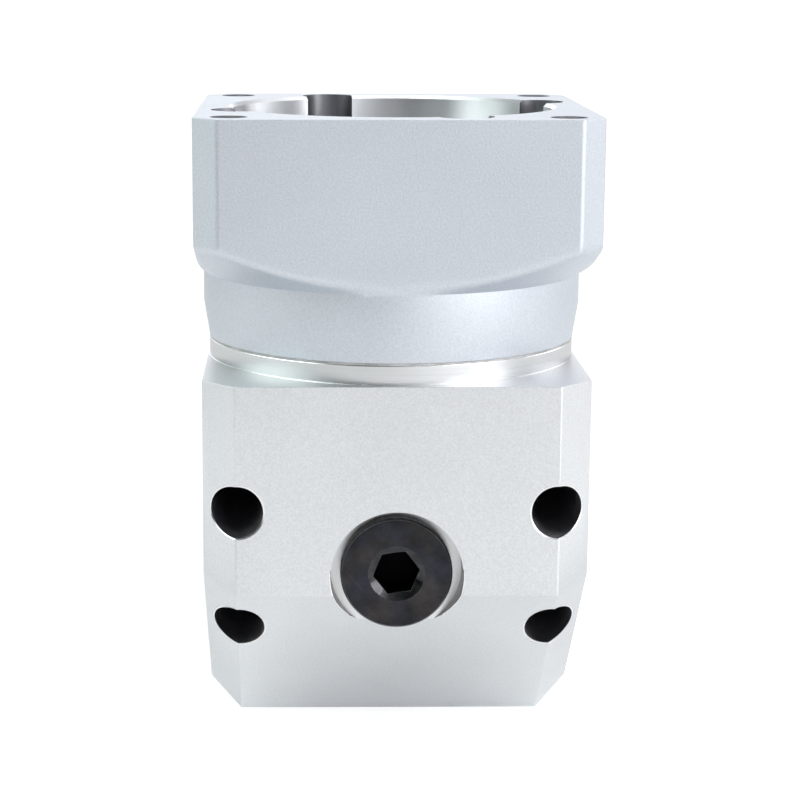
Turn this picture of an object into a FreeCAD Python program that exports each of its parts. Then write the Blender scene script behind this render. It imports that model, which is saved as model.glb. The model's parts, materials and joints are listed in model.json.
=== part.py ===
import FreeCAD, Part

import math
import os
import re

import Sketcher
from FreeCAD import Placement, Rotation, Vector

# Right-angle planetary gearbox, in millimetres.
# The input axis is vertical and the output axis runs along +Y; they cross inside the elbow.
# Lengths along either axis are measured from that crossing. The frame's origin is the centre
# of the output face, on the output axis, so every sub-part is moved back by output_face.

PLANET_LETTERS = "abc"
PLANETS = len(PLANET_LETTERS)
SUN_TEETH = 18
PLANET_TEETH = 18
RING_TEETH = SUN_TEETH + 2 * PLANET_TEETH
BEVEL_TEETH = 18
SCREWS = 4
HEXAGON = 6
TINY = 1e-6

SIZES = {
    # Elbow housing
    "slant_start": 3.0,
    "block_chamfer": 5.0,
    "boss_step": 0.25,
    "boss_height": 2.9,
    "chamber_floor": 5.0,
    "chamber_room": 0.5,
    "end_room": 0.5,
    "gasket_thickness": 0.3,
    "edge_break": 0.5,
    # Input flange
    "flange_side": 60.0,
    "flange_corner": 3.6,
    "flange_height": 35.7,
    "flange_floor": 7.2,
    "pilot_diameter": 50.0,
    "pilot_depth": 5.0,
    "pilot_step": 2.2,
    "skirt_step": 0.05,
    "skirt_flare": 0.85,
    "skirt_taper": 5.4,
    "skirt_height": 10.3,
    "cone_angle": 30.0,
    "motor_bolt_edge": 5.25,
    "motor_bolt_diameter": 5.0,
    "motor_bolt_depth": 14.0,
    # Cap screws that hold the casing together
    "screw_diameter": 4.0,
    "screw_head_diameter": 7.0,
    "screw_head_height": 4.0,
    "screw_hex": 3.0,
    "screw_hex_depth": 2.2,
    "screw_play": 0.4,
    "flange_screw_edge": 3.0,
    "flange_screw_angle": 22.5,
    "flange_screw_seat": 13.0,
    "flange_screw_length": 20.0,
    "flange_counterbore": 8.3,
    "elbow_screw_edge": 3.25,
    "elbow_screw_angle": 22.5,
    "elbow_screw_length": 25.0,
    "elbow_screw_grip": 11.7,
    "elbow_counterbore": 7.7,
    "output_screw_edge": 3.8,
    "output_screw_length": 35.0,
    "output_counterbore": 7.4,
    "output_counterbore_depth": 4.4,
    "tap_run_out": 2.0,
    "cutter_overrun": 2.0,
    # Screw plug on the elbow's front face
    "spotface_diameter": 19.8,
    "spotface_depth": 5.0,
    "plug_thread": 12.0,
    "plug_length": 10.0,
    "plug_collar": 16.8,
    "plug_collar_height": 2.2,
    "plug_seal_thickness": 1.0,
    "plug_seal_diameter": 15.6,
    "plug_hex": 6.0,
    "plug_hex_depth": 5.0,
    "plug_countersink": 8.5,
    "plug_turn": 8.0,
    # Bearings of the input shaft and of the cross shaft
    "bearing_bore": 20.0,
    "bearing_section": 6.0,
    "bearing_width": 7.0,
    "bearing_lip": 0.7,
    "bearing_room": 0.2,
    "bearing_cover": 1.5,
    "race_wall": 2.2,
    "shield_thickness": 0.6,
    "shield_gap": 0.2,
    "clip_thickness": 1.2,
    "clip_groove": 0.8,
    "clip_width": 2.6,
    "clip_opening": 6.0,
    "shoulder_step": 2.0,
    # Input shaft with its clamp hub
    "motor_shaft_diameter": 14.0,
    "motor_shaft_depth": 28.0,
    "hub_drop": 5.7,
    "hub_slit": 1.5,
    "hub_slit_depth": 16.0,
    "collar_wall": 9.0,
    "collar_height": 11.0,
    "collar_drop": 2.0,
    "collar_slit": 2.0,
    "clamp_screw_diameter": 5.0,
    "clamp_screw_head": 8.5,
    "clamp_screw_head_height": 5.0,
    "clamp_screw_length": 18.0,
    "clamp_screw_hex": 4.0,
    "clamp_screw_edge": 3.6,
    "clamp_screw_seat": 5.0,
    "clamp_room": 0.5,
    "access_diameter": 9.0,
    "access_head": 12.0,
    "access_head_height": 1.2,
    "access_plug_length": 8.0,
    "seal_section": 5.0,
    "seal_width": 4.6,
    "seal_wall": 1.2,
    "seal_play": 0.05,
    "seal_room": 0.3,
    "passage_room": 0.65,
    # Bevel pair, pitch cones of 45 degrees with their apex at the crossing
    "bevel_module": 1.5,
    "bevel_face": 6.0,
    "bevel_bore": 12.0,
    "bevel_hub": 1.0,
    "bevel_backlash": 0.12,
    "washer_diameter": 14.0,
    "washer_thickness": 1.0,
    "end_screw_head_height": 2.8,
    "end_screw_hex_depth": 1.4,
    "end_screw_length": 12.0,
    # Two equal planetary stages in one ring gear
    "gear_module": 0.8,
    "gear_backlash": 0.08,
    "tooth_clearance": 0.25,
    "pressure_angle": 20.0,
    "ring_wall": 6.4,
    "ring_edge": 0.5,
    "ring_cover": 2.0,
    "planet_width": 9.0,
    "stage_room": 4.0,
    "stage_gap": 2.7,
    "sun_overlap": 0.4,
    "carrier_play": 0.8,
    "carrier_thickness": 4.5,
    "carrier_gap": 0.8,
    "pin_diameter": 5.0,
    "bush_wall": 1.2,
    "running_play": 0.03,
    "thrust_washer_wall": 2.4,
    "thrust_washer_thickness": 0.6,
    "pin_clip_wall": 1.8,
    "pin_clip_thickness": 0.7,
    "pin_end": 0.3,
    "sun_neck_diameter": 11.0,
    "sun_stub_diameter": 9.0,
    # Output housing, shaft and bearings
    "output_step": 1.0,
    "output_edge": 1.0,
    "output_pilot": 40.0,
    "output_pilot_height": 3.0,
    "output_bolt_circle": 50.0,
    "output_bolt_angle": 45.0,
    "output_bolt_diameter": 5.0,
    "output_bolt_depth": 10.0,
    "carrier_room": 1.2,
    "output_bearing_bore": 17.0,
    "output_bearing_section": 6.5,
    "output_bearing_width": 7.0,
    "output_bearing_gap": 3.0,
    "output_race_wall": 1.9,
    "output_lip": 1.8,
    "output_lip_height": 1.3,
    "spacer_length": 3.0,
    "spacer_wall": 1.6,
    "output_clip_thickness": 1.2,
    "shaft_clip_thickness": 1.0,
    "shaft_clip_groove": 0.6,
    "shaft_clip_width": 2.2,
    "output_seal_width": 4.0,
    "output_seal_gap": 0.5,
    "output_shaft_diameter": 14.0,
    "output_shaft_length": 30.0,
    "output_shaft_chamfer": 0.8,
    "output_shoulder_step": 2.0,
    "centre_thread": 5.0,
    "centre_thread_depth": 12.0,
}

# Sizes and places that follow from these
PLACES = {
    # Diameters that belong together
    "planet_circle": f"gear_module * {SUN_TEETH + PLANET_TEETH}",
    "ring_tip": f"gear_module * {RING_TEETH - 2}",
    "ring_root": f"gear_module * ({RING_TEETH + 2} + 2 * tooth_clearance)",
    "casing_diameter": "ring_root + 2 * ring_wall",
    "boss_diameter": "casing_diameter - 2 * boss_step",
    "skirt_foot": "boss_diameter + 2 * skirt_step",
    "skirt_diameter": "skirt_foot + 2 * skirt_flare",
    "output_diameter": "casing_diameter + 2 * output_step",
    "carrier_diameter": "ring_tip - 2 * carrier_play",
    "motor_bolt_spacing": "flange_side - 2 * motor_bolt_edge",
    "flange_screw_circle": "boss_diameter - 2 * flange_screw_edge",
    "elbow_screw_circle": "casing_diameter - 2 * elbow_screw_edge",
    "output_screw_circle": "casing_diameter - 2 * output_screw_edge",
    "screw_hole": "screw_diameter + screw_play",
    "bevel_pitch": f"bevel_module * {BEVEL_TEETH} / 2",
    "bevel_rise": "bevel_module / sqrt(2)",
    "chamber_least": "2 * (bevel_pitch + bevel_rise + chamber_room)",
    "bearing_outside": "max(bearing_bore + 2 * bearing_section; chamber_least + 2 * bearing_lip)",
    "chamber_diameter": "bearing_outside - 2 * bearing_lip",
    "shoulder_diameter": "bearing_bore + 2 * shoulder_step",
    "hub_diameter": "shoulder_diameter - 2 * shield_gap",
    "seal_diameter": "shoulder_diameter + 2 * seal_section",
    "collar_diameter": "shoulder_diameter + 2 * collar_wall",
    "clamp_screw_offset": "shoulder_diameter / 2 + clamp_screw_edge",
    "clamp_width": "clamp_screw_seat + clamp_screw_head_height",
    "clamp_depth": "clamp_screw_offset + clamp_screw_head / 2",
    "clamp_reach": "sqrt(clamp_width ^ 2 + clamp_depth ^ 2) + clamp_room",
    "cavity_diameter": "max(pilot_diameter - 2 * pilot_step; 2 * clamp_reach)",
    "output_bearing_outside": "output_bearing_bore + 2 * output_bearing_section",
    "output_shoulder": "output_bearing_bore + 2 * output_shoulder_step",
    # Bevel pair
    "bevel_toe": "1 - bevel_face / (bevel_pitch * sqrt(2))",
    "bevel_sink": "bevel_module * (1 + tooth_clearance) / sqrt(2)",
    "bevel_seat": "(bevel_pitch + bevel_sink) * bevel_toe",
    "bevel_back": "2 * bevel_pitch - hub_diameter / 2",
    "end_screw_top": "bevel_seat - washer_thickness - end_screw_head_height",
    "chamber_end": "min(chamber_floor; end_screw_top - end_room)",
    # Places along both axes, then along the input axis
    "bearing_start": "max(bevel_back + bevel_hub; bearing_outside / 2 + bearing_room)",
    "bearings_end": "bearing_start + 2 * bearing_width",
    "boss_top": "bearings_end + bearing_cover",
    "seat_height": "boss_top - boss_height",
    "block_reach": "flange_side / 2",
    "spotface_floor": "block_reach - spotface_depth",
    "collar_foot": "spotface_floor + plug_seal_thickness",
    "plug_face": "collar_foot + plug_collar_height",
    "flange_bottom": "boss_top + gasket_thickness",
    "flange_top": "flange_bottom + flange_height",
    "floor_top": "flange_bottom + flange_floor",
    "flange_seat": "flange_bottom + flange_screw_seat",
    "skirt_top": "flange_bottom + skirt_height",
    "flange_reach": "flange_side / sqrt(2)",
    "cone_top": "skirt_top + (flange_reach - skirt_diameter / 2) * tan(cone_angle)",
    "hub_top": "flange_top - hub_drop",
    "collar_top": "hub_top - collar_drop",
    "collar_bottom": "collar_top - collar_height",
    "clamp_screw_height": "collar_top - collar_height / 2",
    # Places along the output axis
    "elbow_screw_seat": "(boss_top - elbow_screw_grip)",
    "ring_start": "boss_top + gasket_thickness",
    "stage_start": "ring_start + stage_room",
    "stage_pitch": "planet_width + carrier_gap + carrier_thickness + stage_gap",
    "ring_end": "stage_start + stage_pitch + planet_width + ring_cover",
    "housing_start": "ring_end + gasket_thickness",
    "carrier_start": "stage_start + planet_width + carrier_gap",
    "output_carrier_start": "carrier_start + stage_pitch",
    "output_carrier_end": "output_carrier_start + carrier_thickness",
    "output_bearing_start": "output_carrier_end + output_bearing_gap",
    "second_bearing": "output_bearing_start + output_bearing_width + spacer_length",
    "output_bearings_end": "second_bearing + output_bearing_width",
    "output_clip_end": "output_bearings_end + output_clip_thickness",
    "pilot_end": "output_clip_end + output_seal_gap + output_seal_width",
    "output_face": "pilot_end - output_pilot_height",
    "shaft_end": "pilot_end + output_shaft_length",
}

INPUT = Rotation()
OUTPUT = Rotation(Vector(1, 0, 0), -90)
FRONT = Rotation(Vector(1, 0, 0), 90)
SIDE = Rotation(Vector(0, 1, 0), 90)

doc = FreeCAD.newDocument("right_angle_gearbox")
sheet = doc.addObject("Spreadsheet::Sheet", "dims")
for row, (alias, number) in enumerate(SIZES.items(), start=1):
    sheet.set(f"A{row}", alias)
    sheet.set(f"B{row}", str(number))
    sheet.setAlias(f"B{row}", alias)
doc.recompute()

nodes = []


def expr(text):
    """Spell a formula of named sizes and places out in terms of the sheet's cells."""
    def spell(match):
        word = match.group(0)
        if word in PLACES:
            return "(" + expr(PLACES[word]) + ")"
        return "dims." + word if word in SIZES else word
    return re.sub(r"[a-z_][a-z_0-9]*", spell, text)


def value(text):
    """The number that a formula gives with the sheet as it stands."""
    return float(sheet.evalExpression(expr(text)))


def bind(thing, **formulas):
    """Tie properties to the sheet; a double underscore in a name stands for a dot."""
    for name, formula in formulas.items():
        thing.setExpression(name.replace("__", "."), expr(formula))


def node(thing, label, turn, x="0", y="0", z="0"):
    """Make an object a sub-part of its own: turned to its axis and moved back by output_face."""
    thing.Label = label
    thing.Placement = Placement(Vector(0, 0, 0), turn)
    bind(thing, Placement__Base__x=x, Placement__Base__y=f"{y} - output_face",
         Placement__Base__z=z)
    nodes.append(thing)
    return thing


# Sketches and features

def new_body(label):
    return doc.addObject("PartDesign::Body", label)


def new_sketch(body, plane, offset="0"):
    """A sketch on one of the body's own origin planes, lifted along the plane's normal."""
    sketch = body.newObject("Sketcher::SketchObject", body.Name + "_sketch")
    support = next(item for item in body.Origin.OriginFeatures if item.Role == plane)
    sketch.AttachmentSupport = (support, [""])
    sketch.MapMode = "FlatFace"
    sketch.AttachmentOffset = Placement(Vector(0, 0, value(offset)), Rotation())
    bind(sketch, AttachmentOffset__Base__z=offset)
    return sketch


def pin_point(sketch, geometry, point, x, y):
    """Dimension one point of a sketch from its origin."""
    for kind, formula, axis in (("DistanceX", x, -2), ("DistanceY", y, -1)):
        if formula == "0":
            sketch.addConstraint(Sketcher.Constraint("PointOnObject", geometry, point, axis))
        else:
            index = sketch.addConstraint(
                Sketcher.Constraint(kind, -1, 1, geometry, point, value(formula)))
            sketch.setExpression(f"Constraints[{index}]", expr(formula))


def polygon(sketch, corners):
    """A closed outline; every corner is a pair of formulas."""
    spots = [Vector(value(x), value(y), 0) for x, y in corners]
    first = sketch.GeometryCount
    count = len(corners)
    for index in range(count):
        sketch.addGeometry(Part.LineSegment(spots[index], spots[(index + 1) % count]), False)
    for index in range(count):
        following = first + (index + 1) % count
        sketch.addConstraint(Sketcher.Constraint("Coincident", first + index, 2, following, 1))
    for index, (x, y) in enumerate(corners):
        pin_point(sketch, first + index, 1, x, y)


def circles(sketch, centres, diameter):
    """Equal circles; every centre is a pair of formulas."""
    for x, y in centres:
        middle = Vector(value(x), value(y), 0)
        round_line = Part.Circle(middle, Vector(0, 0, 1), value(diameter) / 2)
        index = sketch.addGeometry(round_line, False)
        pin_point(sketch, index, 3, x, y)
        size = sketch.addConstraint(
            Sketcher.Constraint("Diameter", index, value(diameter)))
        sketch.setExpression(f"Constraints[{size}]", expr(diameter))


def on_circle(diameter, angle, count):
    """Centres of a polar pattern, as formulas."""
    step = 360 / count
    return [(f"{diameter} / 2 * cos({angle} + {step * index})",
             f"{diameter} / 2 * sin({angle} + {step * index})") for index in range(count)]


def revolve(body, corners, plane="XZ_Plane", axis="V_Axis", kind="Revolution"):
    """Turn an outline right round a sketch axis, as a solid or as a groove."""
    sketch = new_sketch(body, plane)
    polygon(sketch, corners)
    feature = body.newObject("PartDesign::" + kind, body.Name + "_" + kind.lower())
    feature.Profile = sketch
    feature.ReferenceAxis = (sketch, [axis])
    feature.Angle = 360
    doc.recompute()
    return feature


def extrude(body, sketch, length=None, reverse=False, kind="Pocket"):
    """Pad or pocket a sketch; with no length it goes through everything."""
    before = body.Shape.Volume if body.Tip else 0
    feature = body.newObject("PartDesign::" + kind, body.Name + "_" + kind.lower())
    feature.Profile = sketch
    feature.Reversed = reverse
    if length is None:
        feature.Type = "ThroughAll"
    else:
        feature.Length = value(length)
        bind(feature, Length=length)
    doc.recompute()
    if abs(body.Shape.Volume - before) < TINY:
        raise RuntimeError(f"{feature.Name} changes nothing")
    return feature


def drill(body, plane, offset, centres, diameter, depth=None, reverse=False):
    """Round holes from a plane of the body."""
    sketch = new_sketch(body, plane, offset)
    circles(sketch, centres, diameter)
    return extrude(body, sketch, depth, reverse)


def turned(label, turn, corners):
    """A turned sub-part made from one outline of radius and length."""
    body = new_body(label)
    revolve(body, corners)
    return node(body, label, turn)


def ring_outline(inner, outer, start, end):
    """Outline of a plain ring, from diameters and places along the axis."""
    inside = f"({inner}) / 2"
    outside = f"({outer}) / 2"
    return [(inside, start), (outside, start), (outside, end), (inside, end)]


# Primitives for groups of equal pieces

def cylinder(name, diameter, start, end, x="0", y="0"):
    item = doc.addObject("Part::Cylinder", name)
    bind(item, Radius=f"({diameter}) / 2", Height=f"({end}) - ({start})",
         Placement__Base__x=x, Placement__Base__y=y, Placement__Base__z=start)
    return item


def socket(name, flats, start, depth, x="0", y="0"):
    """A hexagonal prism for a key."""
    item = doc.addObject("Part::Prism", name)
    item.Polygon = HEXAGON
    bind(item, Circumradius=f"{flats} / sqrt(3)", Height=depth,
         Placement__Base__x=x, Placement__Base__y=y, Placement__Base__z=start)
    return item


def fuse(name, shapes):
    item = doc.addObject("Part::MultiFuse", name)
    item.Shapes = shapes
    return item


def cut(name, base, tool):
    item = doc.addObject("Part::Cut", name)
    item.Base = base
    item.Tool = tool
    return item


def compound(name, shapes):
    item = doc.addObject("Part::Compound", name)
    item.Links = shapes
    return item


def cap_screws(label, turn, centres, seat, length, forward):
    """Socket cap screws whose heads stand on a seat; forward shanks point along the axis."""
    if forward:
        head_end = f"{seat} - screw_head_height"
        shank_span = (seat, f"{seat} + {length}")
        head_span = (head_end, seat)
        key_start = head_end
    else:
        head_end = f"{seat} + screw_head_height"
        shank_span = (f"{seat} - {length}", seat)
        head_span = (seat, head_end)
        key_start = f"{head_end} - screw_hex_depth"
    pieces = []
    keys = []
    for index, (x, y) in enumerate(centres):
        name = f"{label}_{index}"
        pieces.append(cylinder(name + "_shank", "screw_diameter", *shank_span, x, y))
        pieces.append(cylinder(name + "_head", "screw_head_diameter", *head_span, x, y))
        keys.append(socket(name + "_key", "screw_hex", key_start, "screw_hex_depth", x, y))
    solid = fuse(label + "_solid", pieces)
    holes = fuse(label + "_keys", keys)
    return node(cut(label, solid, holes), label, turn)


# Casing

FLANGE_SCREWS = on_circle("flange_screw_circle", "flange_screw_angle", SCREWS)
OUTPUT_SCREWS = on_circle("output_screw_circle", "0", SCREWS)
ELBOW_SCREWS = [(f"{side} * elbow_screw_circle / 2 * cos(elbow_screw_angle)",
                 f"{level} * elbow_screw_circle / 2 * sin(elbow_screw_angle)")
                for side in (1, -1) for level in (1, -1)]
MOTOR_BOLTS = [(f"{side} * motor_bolt_spacing / 2", f"{level} * motor_bolt_spacing / 2")
               for side in (1, -1) for level in (1, -1)]


def bearing_bore_outline():
    """Outline of a bearing bore with its clip groove and the gear chamber beyond it."""
    seat = "bearing_outside / 2"
    groove = "bearing_outside / 2 + clip_groove"
    chamber = "chamber_diameter / 2"
    mouth = "boss_top + cutter_overrun"
    return [("0", "chamber_end"), (chamber, "chamber_end"), (chamber, "bearing_start"),
            (seat, "bearing_start"), (seat, "bearings_end"), (groove, "bearings_end"),
            (groove, "bearings_end + clip_thickness"), (seat, "bearings_end + clip_thickness"),
            (seat, mouth), ("0", mouth)]


def chamfered_edges(shape):
    """Edges of the block's two side outlines, but for those of the two seats."""
    half = value("casing_diameter") / 2
    seat = value("seat_height")
    names = []
    for index, edge in enumerate(shape.Edges, start=1):
        middle = edge.CenterOfMass
        on_side = abs(abs(middle.x) - half) < TINY
        on_seat = abs(middle.y - seat) < TINY or abs(middle.z - seat) < TINY
        if on_side and not on_seat:
            names.append(f"Edge{index}")
    return names


def elbow_housing():
    """Cube with a cut-off lower front edge, a turned boss on each seat and crossing bores."""
    body = new_body("elbow_housing")
    side = new_sketch(body, "YZ_Plane", "-casing_diameter / 2")
    polygon(side, [("-block_reach", "seat_height"), ("-block_reach", "-slant_start"),
                   ("-slant_start", "-block_reach"), ("seat_height", "-block_reach"),
                   ("seat_height", "seat_height")])
    block = extrude(body, side, "casing_diameter", kind="Pad")
    bevel = body.newObject("PartDesign::Chamfer", "elbow_chamfer")
    bevel.Base = (block, chamfered_edges(block.Shape))
    bevel.Size = value("block_chamfer")
    bind(bevel, Size="block_chamfer")
    doc.recompute()
    for plane, flip in (("XY_Plane", False), ("XZ_Plane", True)):
        boss = new_sketch(body, plane)
        circles(boss, [("0", "0")], "boss_diameter")
        extrude(body, boss, "boss_top", flip, kind="Pad")
    bore = bearing_bore_outline()
    revolve(body, bore, kind="Groove")
    revolve(body, [(z, r) for r, z in bore], "YZ_Plane", "H_Axis", kind="Groove")
    drill(body, "XZ_Plane", "spotface_floor", [("0", "0")], "spotface_diameter",
          reverse=True)
    drill(body, "XZ_Plane", "-chamber_end - cutter_overrun", [("0", "0")], "plug_thread",
          reverse=True)
    drill(body, "XZ_Plane", "-elbow_screw_seat", ELBOW_SCREWS, "elbow_counterbore",
          reverse=True)
    drill(body, "XZ_Plane", "-elbow_screw_seat", ELBOW_SCREWS, "screw_hole")
    drill(body, "XY_Plane", "boss_top", FLANGE_SCREWS, "screw_diameter",
          "flange_screw_length - flange_screw_seat + tap_run_out")
    return node(body, "elbow_housing", INPUT)


def input_flange():
    """Turned cup with a coned back, milled to a square with cut corners."""
    body = new_body("input_flange")
    pilot = "pilot_diameter / 2"
    cavity = "cavity_diameter / 2"
    passage = "shoulder_diameter / 2 + passage_room"
    seal_top = "flange_bottom + seal_width + seal_room"
    revolve(body, [("seal_diameter / 2", "flange_bottom"),
                   ("skirt_foot / 2", "flange_bottom"),
                   ("skirt_diameter / 2", "flange_bottom + skirt_taper"),
                   ("skirt_diameter / 2", "skirt_top"),
                   ("flange_reach", "cone_top"), ("flange_reach", "flange_top"),
                   (pilot + " + edge_break", "flange_top"),
                   (pilot, "flange_top - edge_break"), (pilot, "flange_top - pilot_depth"),
                   (cavity, "flange_top - pilot_depth"), (cavity, "floor_top"),
                   (passage, "floor_top"), (passage, seal_top),
                   ("seal_diameter / 2", seal_top)])
    half = "flange_side / 2"
    short = "(flange_side / 2 - flange_corner)"
    square = new_sketch(body, "XY_Plane", "flange_top")
    polygon(square, [(half, "-" + short), (half, short), (short, half), ("-" + short, half),
                     ("-" + half, short), ("-" + half, "-" + short),
                     ("-" + short, "-" + half), (short, "-" + half)])
    circles(square, [("0", "0")], "flange_side * 2")
    extrude(body, square)
    drill(body, "XY_Plane", "flange_top", FLANGE_SCREWS, "flange_counterbore",
          "flange_height - flange_screw_seat")
    drill(body, "XY_Plane", "flange_seat", FLANGE_SCREWS, "screw_hole")
    drill(body, "XY_Plane", "flange_top", MOTOR_BOLTS, "motor_bolt_diameter",
          "motor_bolt_depth")
    access = [("-clamp_screw_offset", "clamp_screw_height")]
    drill(body, "YZ_Plane", half, access, "access_diameter", half)
    drill(body, "YZ_Plane", half, access, "access_head", "access_head_height")
    return node(body, "input_flange", INPUT)


def gasket(label, turn, inner, outer, start, centres):
    """Flat gasket with screw holes."""
    body = new_body(label)
    revolve(body, ring_outline(inner, outer, start, f"{start} + gasket_thickness"))
    drill(body, "XY_Plane", f"{start} + gasket_thickness", centres, "screw_hole")
    return node(body, label, turn)


def screw_plug():
    """Collared screw plug with a countersunk hexagon socket."""
    body = new_body("screw_plug")
    collar = "plug_collar / 2"
    thread = "plug_thread / 2"
    sink = "plug_countersink / 2"
    across = "plug_hex / 2"
    revolve(body, [("0", "spotface_floor - plug_length"),
                   (thread + " - edge_break", "spotface_floor - plug_length"),
                   (thread, "spotface_floor - plug_length + edge_break"),
                   (thread, "collar_foot"), (collar, "collar_foot"),
                   (collar, "plug_face - edge_break"), (collar + " - edge_break", "plug_face"),
                   (sink, "plug_face"), (across, "plug_face - (" + sink + " - " + across + ")"),
                   ("0", "plug_face - (" + sink + " - " + across + ")")])
    sketch = new_sketch(body, "XY_Plane", "plug_face")
    polygon(sketch, on_circle("plug_hex * 2 / sqrt(3)", "plug_turn", HEXAGON))
    extrude(body, sketch, "plug_hex_depth")
    return node(body, "screw_plug", FRONT)


def access_plug():
    """Push-in plug of the hole that leads to the clamp screw."""
    body = new_body("clamp_access_plug")
    face = "flange_side / 2"
    under = "flange_side / 2 - access_head_height"
    head = "access_head / 2 - running_play"
    shank = "access_diameter / 2 - running_play"
    revolve(body, [("0", under + " - access_plug_length"),
                   (shank + " - edge_break", under + " - access_plug_length"),
                   (shank, under + " - access_plug_length + edge_break"),
                   (shank, under), (head, under), (head, face), ("0", face)])
    return node(body, "clamp_access_plug", SIDE, y="-clamp_screw_offset", z="clamp_screw_height")


def output_housing():
    """Turned housing with the output face, its pilot and the bore of the output bearings."""
    body = new_body("output_housing")
    outside = "output_diameter / 2"
    room = "carrier_diameter / 2 + carrier_room"
    seat = "output_bearing_outside / 2"
    groove = "output_bearing_outside / 2 + clip_groove"
    lip_start = "output_bearing_start - output_lip_height"
    revolve(body, [(room, "housing_start"), (outside, "housing_start"),
                   (outside, "output_face - output_edge"),
                   (outside + " - output_edge", "output_face"),
                   ("output_pilot / 2", "output_face"),
                   ("output_pilot / 2", "pilot_end - edge_break"),
                   ("output_pilot / 2 - edge_break", "pilot_end"),
                   (seat, "pilot_end"), (seat, "output_clip_end"), (groove, "output_clip_end"),
                   (groove, "output_bearings_end"), (seat, "output_bearings_end"),
                   (seat, "output_bearing_start"),
                   (seat + " - output_lip", "output_bearing_start"),
                   (seat + " - output_lip", lip_start), (room, lip_start)])
    drill(body, "XY_Plane", "output_face", on_circle("output_bolt_circle", "output_bolt_angle", SCREWS),
          "output_bolt_diameter", "output_bolt_depth")
    drill(body, "XY_Plane", "output_face", OUTPUT_SCREWS, "output_counterbore",
          "output_counterbore_depth")
    drill(body, "XY_Plane", "output_face", OUTPUT_SCREWS, "screw_hole")
    return node(body, "output_housing", OUTPUT)


# Bearings, seals and clips

def race_pair(label, turn, starts, corners_at):
    """Two equal bearing rings in one group."""
    rings = []
    for index, start in enumerate(starts):
        body = new_body(f"{label}_{index}")
        revolve(body, corners_at(start))
        rings.append(body)
    return node(compound(label, rings), label, turn)


def bearing_pair(name, turn, starts, bore, outside, width, wall):
    """Outer rings with shields, and inner rings, of a pair of sealed ball bearings."""
    def outer_ring(start):
        end = f"{start} + {width}"
        rim = f"{outside} / 2"
        track = f"{outside} / 2 - {wall}"
        shield = f"{bore} / 2 + {wall} + shield_gap"
        return [(shield, start), (rim, start), (rim, end), (shield, end),
                (shield, end + " - shield_thickness"), (track, end + " - shield_thickness"),
                (track, start + " + shield_thickness"),
                (shield, start + " + shield_thickness")]

    def inner_ring(start):
        return ring_outline(bore, f"{bore} + 2 * {wall}", start, f"{start} + {width}")

    race_pair(name + "_outer_rings", turn, starts, outer_ring)
    race_pair(name + "_inner_rings", turn, starts, inner_ring)


def open_clip(label, turn, inner, outer, start, thickness, outside):
    """Retaining ring: a flat ring with a gap between its two ends."""
    body = new_body(label)
    revolve(body, ring_outline(inner, outer, start, f"{start} + {thickness}"))
    gap = new_sketch(body, "XY_Plane", f"{start} + {thickness}")
    half = "clip_opening / 2"
    polygon(gap, [("-" + half, "0"), (half, "0"), (half, outside), ("-" + half, outside)])
    extrude(body, gap)
    return node(body, label, turn)


def oil_seal(label, turn, shaft, outside, start, width):
    """Radial shaft seal: an L-shaped ring whose lip runs on the shaft."""
    lip = f"{shaft} / 2 + seal_play"
    rim = f"{outside} / 2"
    wall = "seal_wall"
    end = f"{start} + {width}"
    body = new_body(label)
    revolve(body, [(lip, start + " + " + wall), (lip, end), (rim, end), (rim, start),
                   (f"{rim} - {wall}", start), (f"{rim} - {wall}", f"{end} - {wall}"),
                   (f"{lip} + {wall}", f"{end} - {wall}"), (f"{lip} + {wall}", start + " + " + wall)])
    return node(body, label, turn)


# Input shaft and bevel pair

def input_shaft():
    """Shaft with a seat for the pinion, a journal, a shoulder and a slit clamp sleeve."""
    body = new_body("input_shaft")
    thread = "screw_diameter / 2"
    bore = "motor_shaft_diameter / 2"
    tip = "bevel_seat + end_screw_length - washer_thickness + tap_run_out"
    floor = "hub_top - motor_shaft_depth"
    revolve(body, [(thread, "bevel_seat"), ("bevel_bore / 2", "bevel_seat"),
                   ("bevel_bore / 2", "bearing_start"), ("bearing_bore / 2", "bearing_start"),
                   ("bearing_bore / 2", "bearings_end"), ("shoulder_diameter / 2", "bearings_end"),
                   ("shoulder_diameter / 2", "hub_top"), (bore + " + edge_break", "hub_top"),
                   (bore, "hub_top - edge_break"), (bore, floor), ("0", floor), ("0", tip),
                   (thread, tip)])
    slit = new_sketch(body, "XY_Plane", "hub_top")
    half = "hub_slit / 2"
    polygon(slit, [("-" + half, "-shoulder_diameter"), (half, "-shoulder_diameter"),
                   (half, "shoulder_diameter"), ("-" + half, "shoulder_diameter")])
    extrude(body, slit, "hub_slit_depth")
    return node(body, "input_shaft", INPUT)


def clamp_collar():
    """Slit collar that a tangential screw draws tight round the sleeve."""
    body = new_body("clamp_collar")
    revolve(body, ring_outline("shoulder_diameter", "collar_diameter",
                               "collar_bottom", "collar_top"))
    half = "collar_slit / 2"
    slit = new_sketch(body, "XY_Plane", "collar_top")
    polygon(slit, [("-" + half, "-collar_diameter"), (half, "-collar_diameter"),
                   (half, "0"), ("-" + half, "0")])
    extrude(body, slit)
    axis = [("-clamp_screw_offset", "clamp_screw_height")]
    drill(body, "YZ_Plane", "clamp_screw_seat", axis, "clamp_screw_head + screw_play",
          reverse=True)
    drill(body, "YZ_Plane", "clamp_screw_seat - clamp_screw_length - tap_run_out", axis,
          "clamp_screw_diameter", reverse=True)
    return node(body, "clamp_collar", INPUT)


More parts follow.
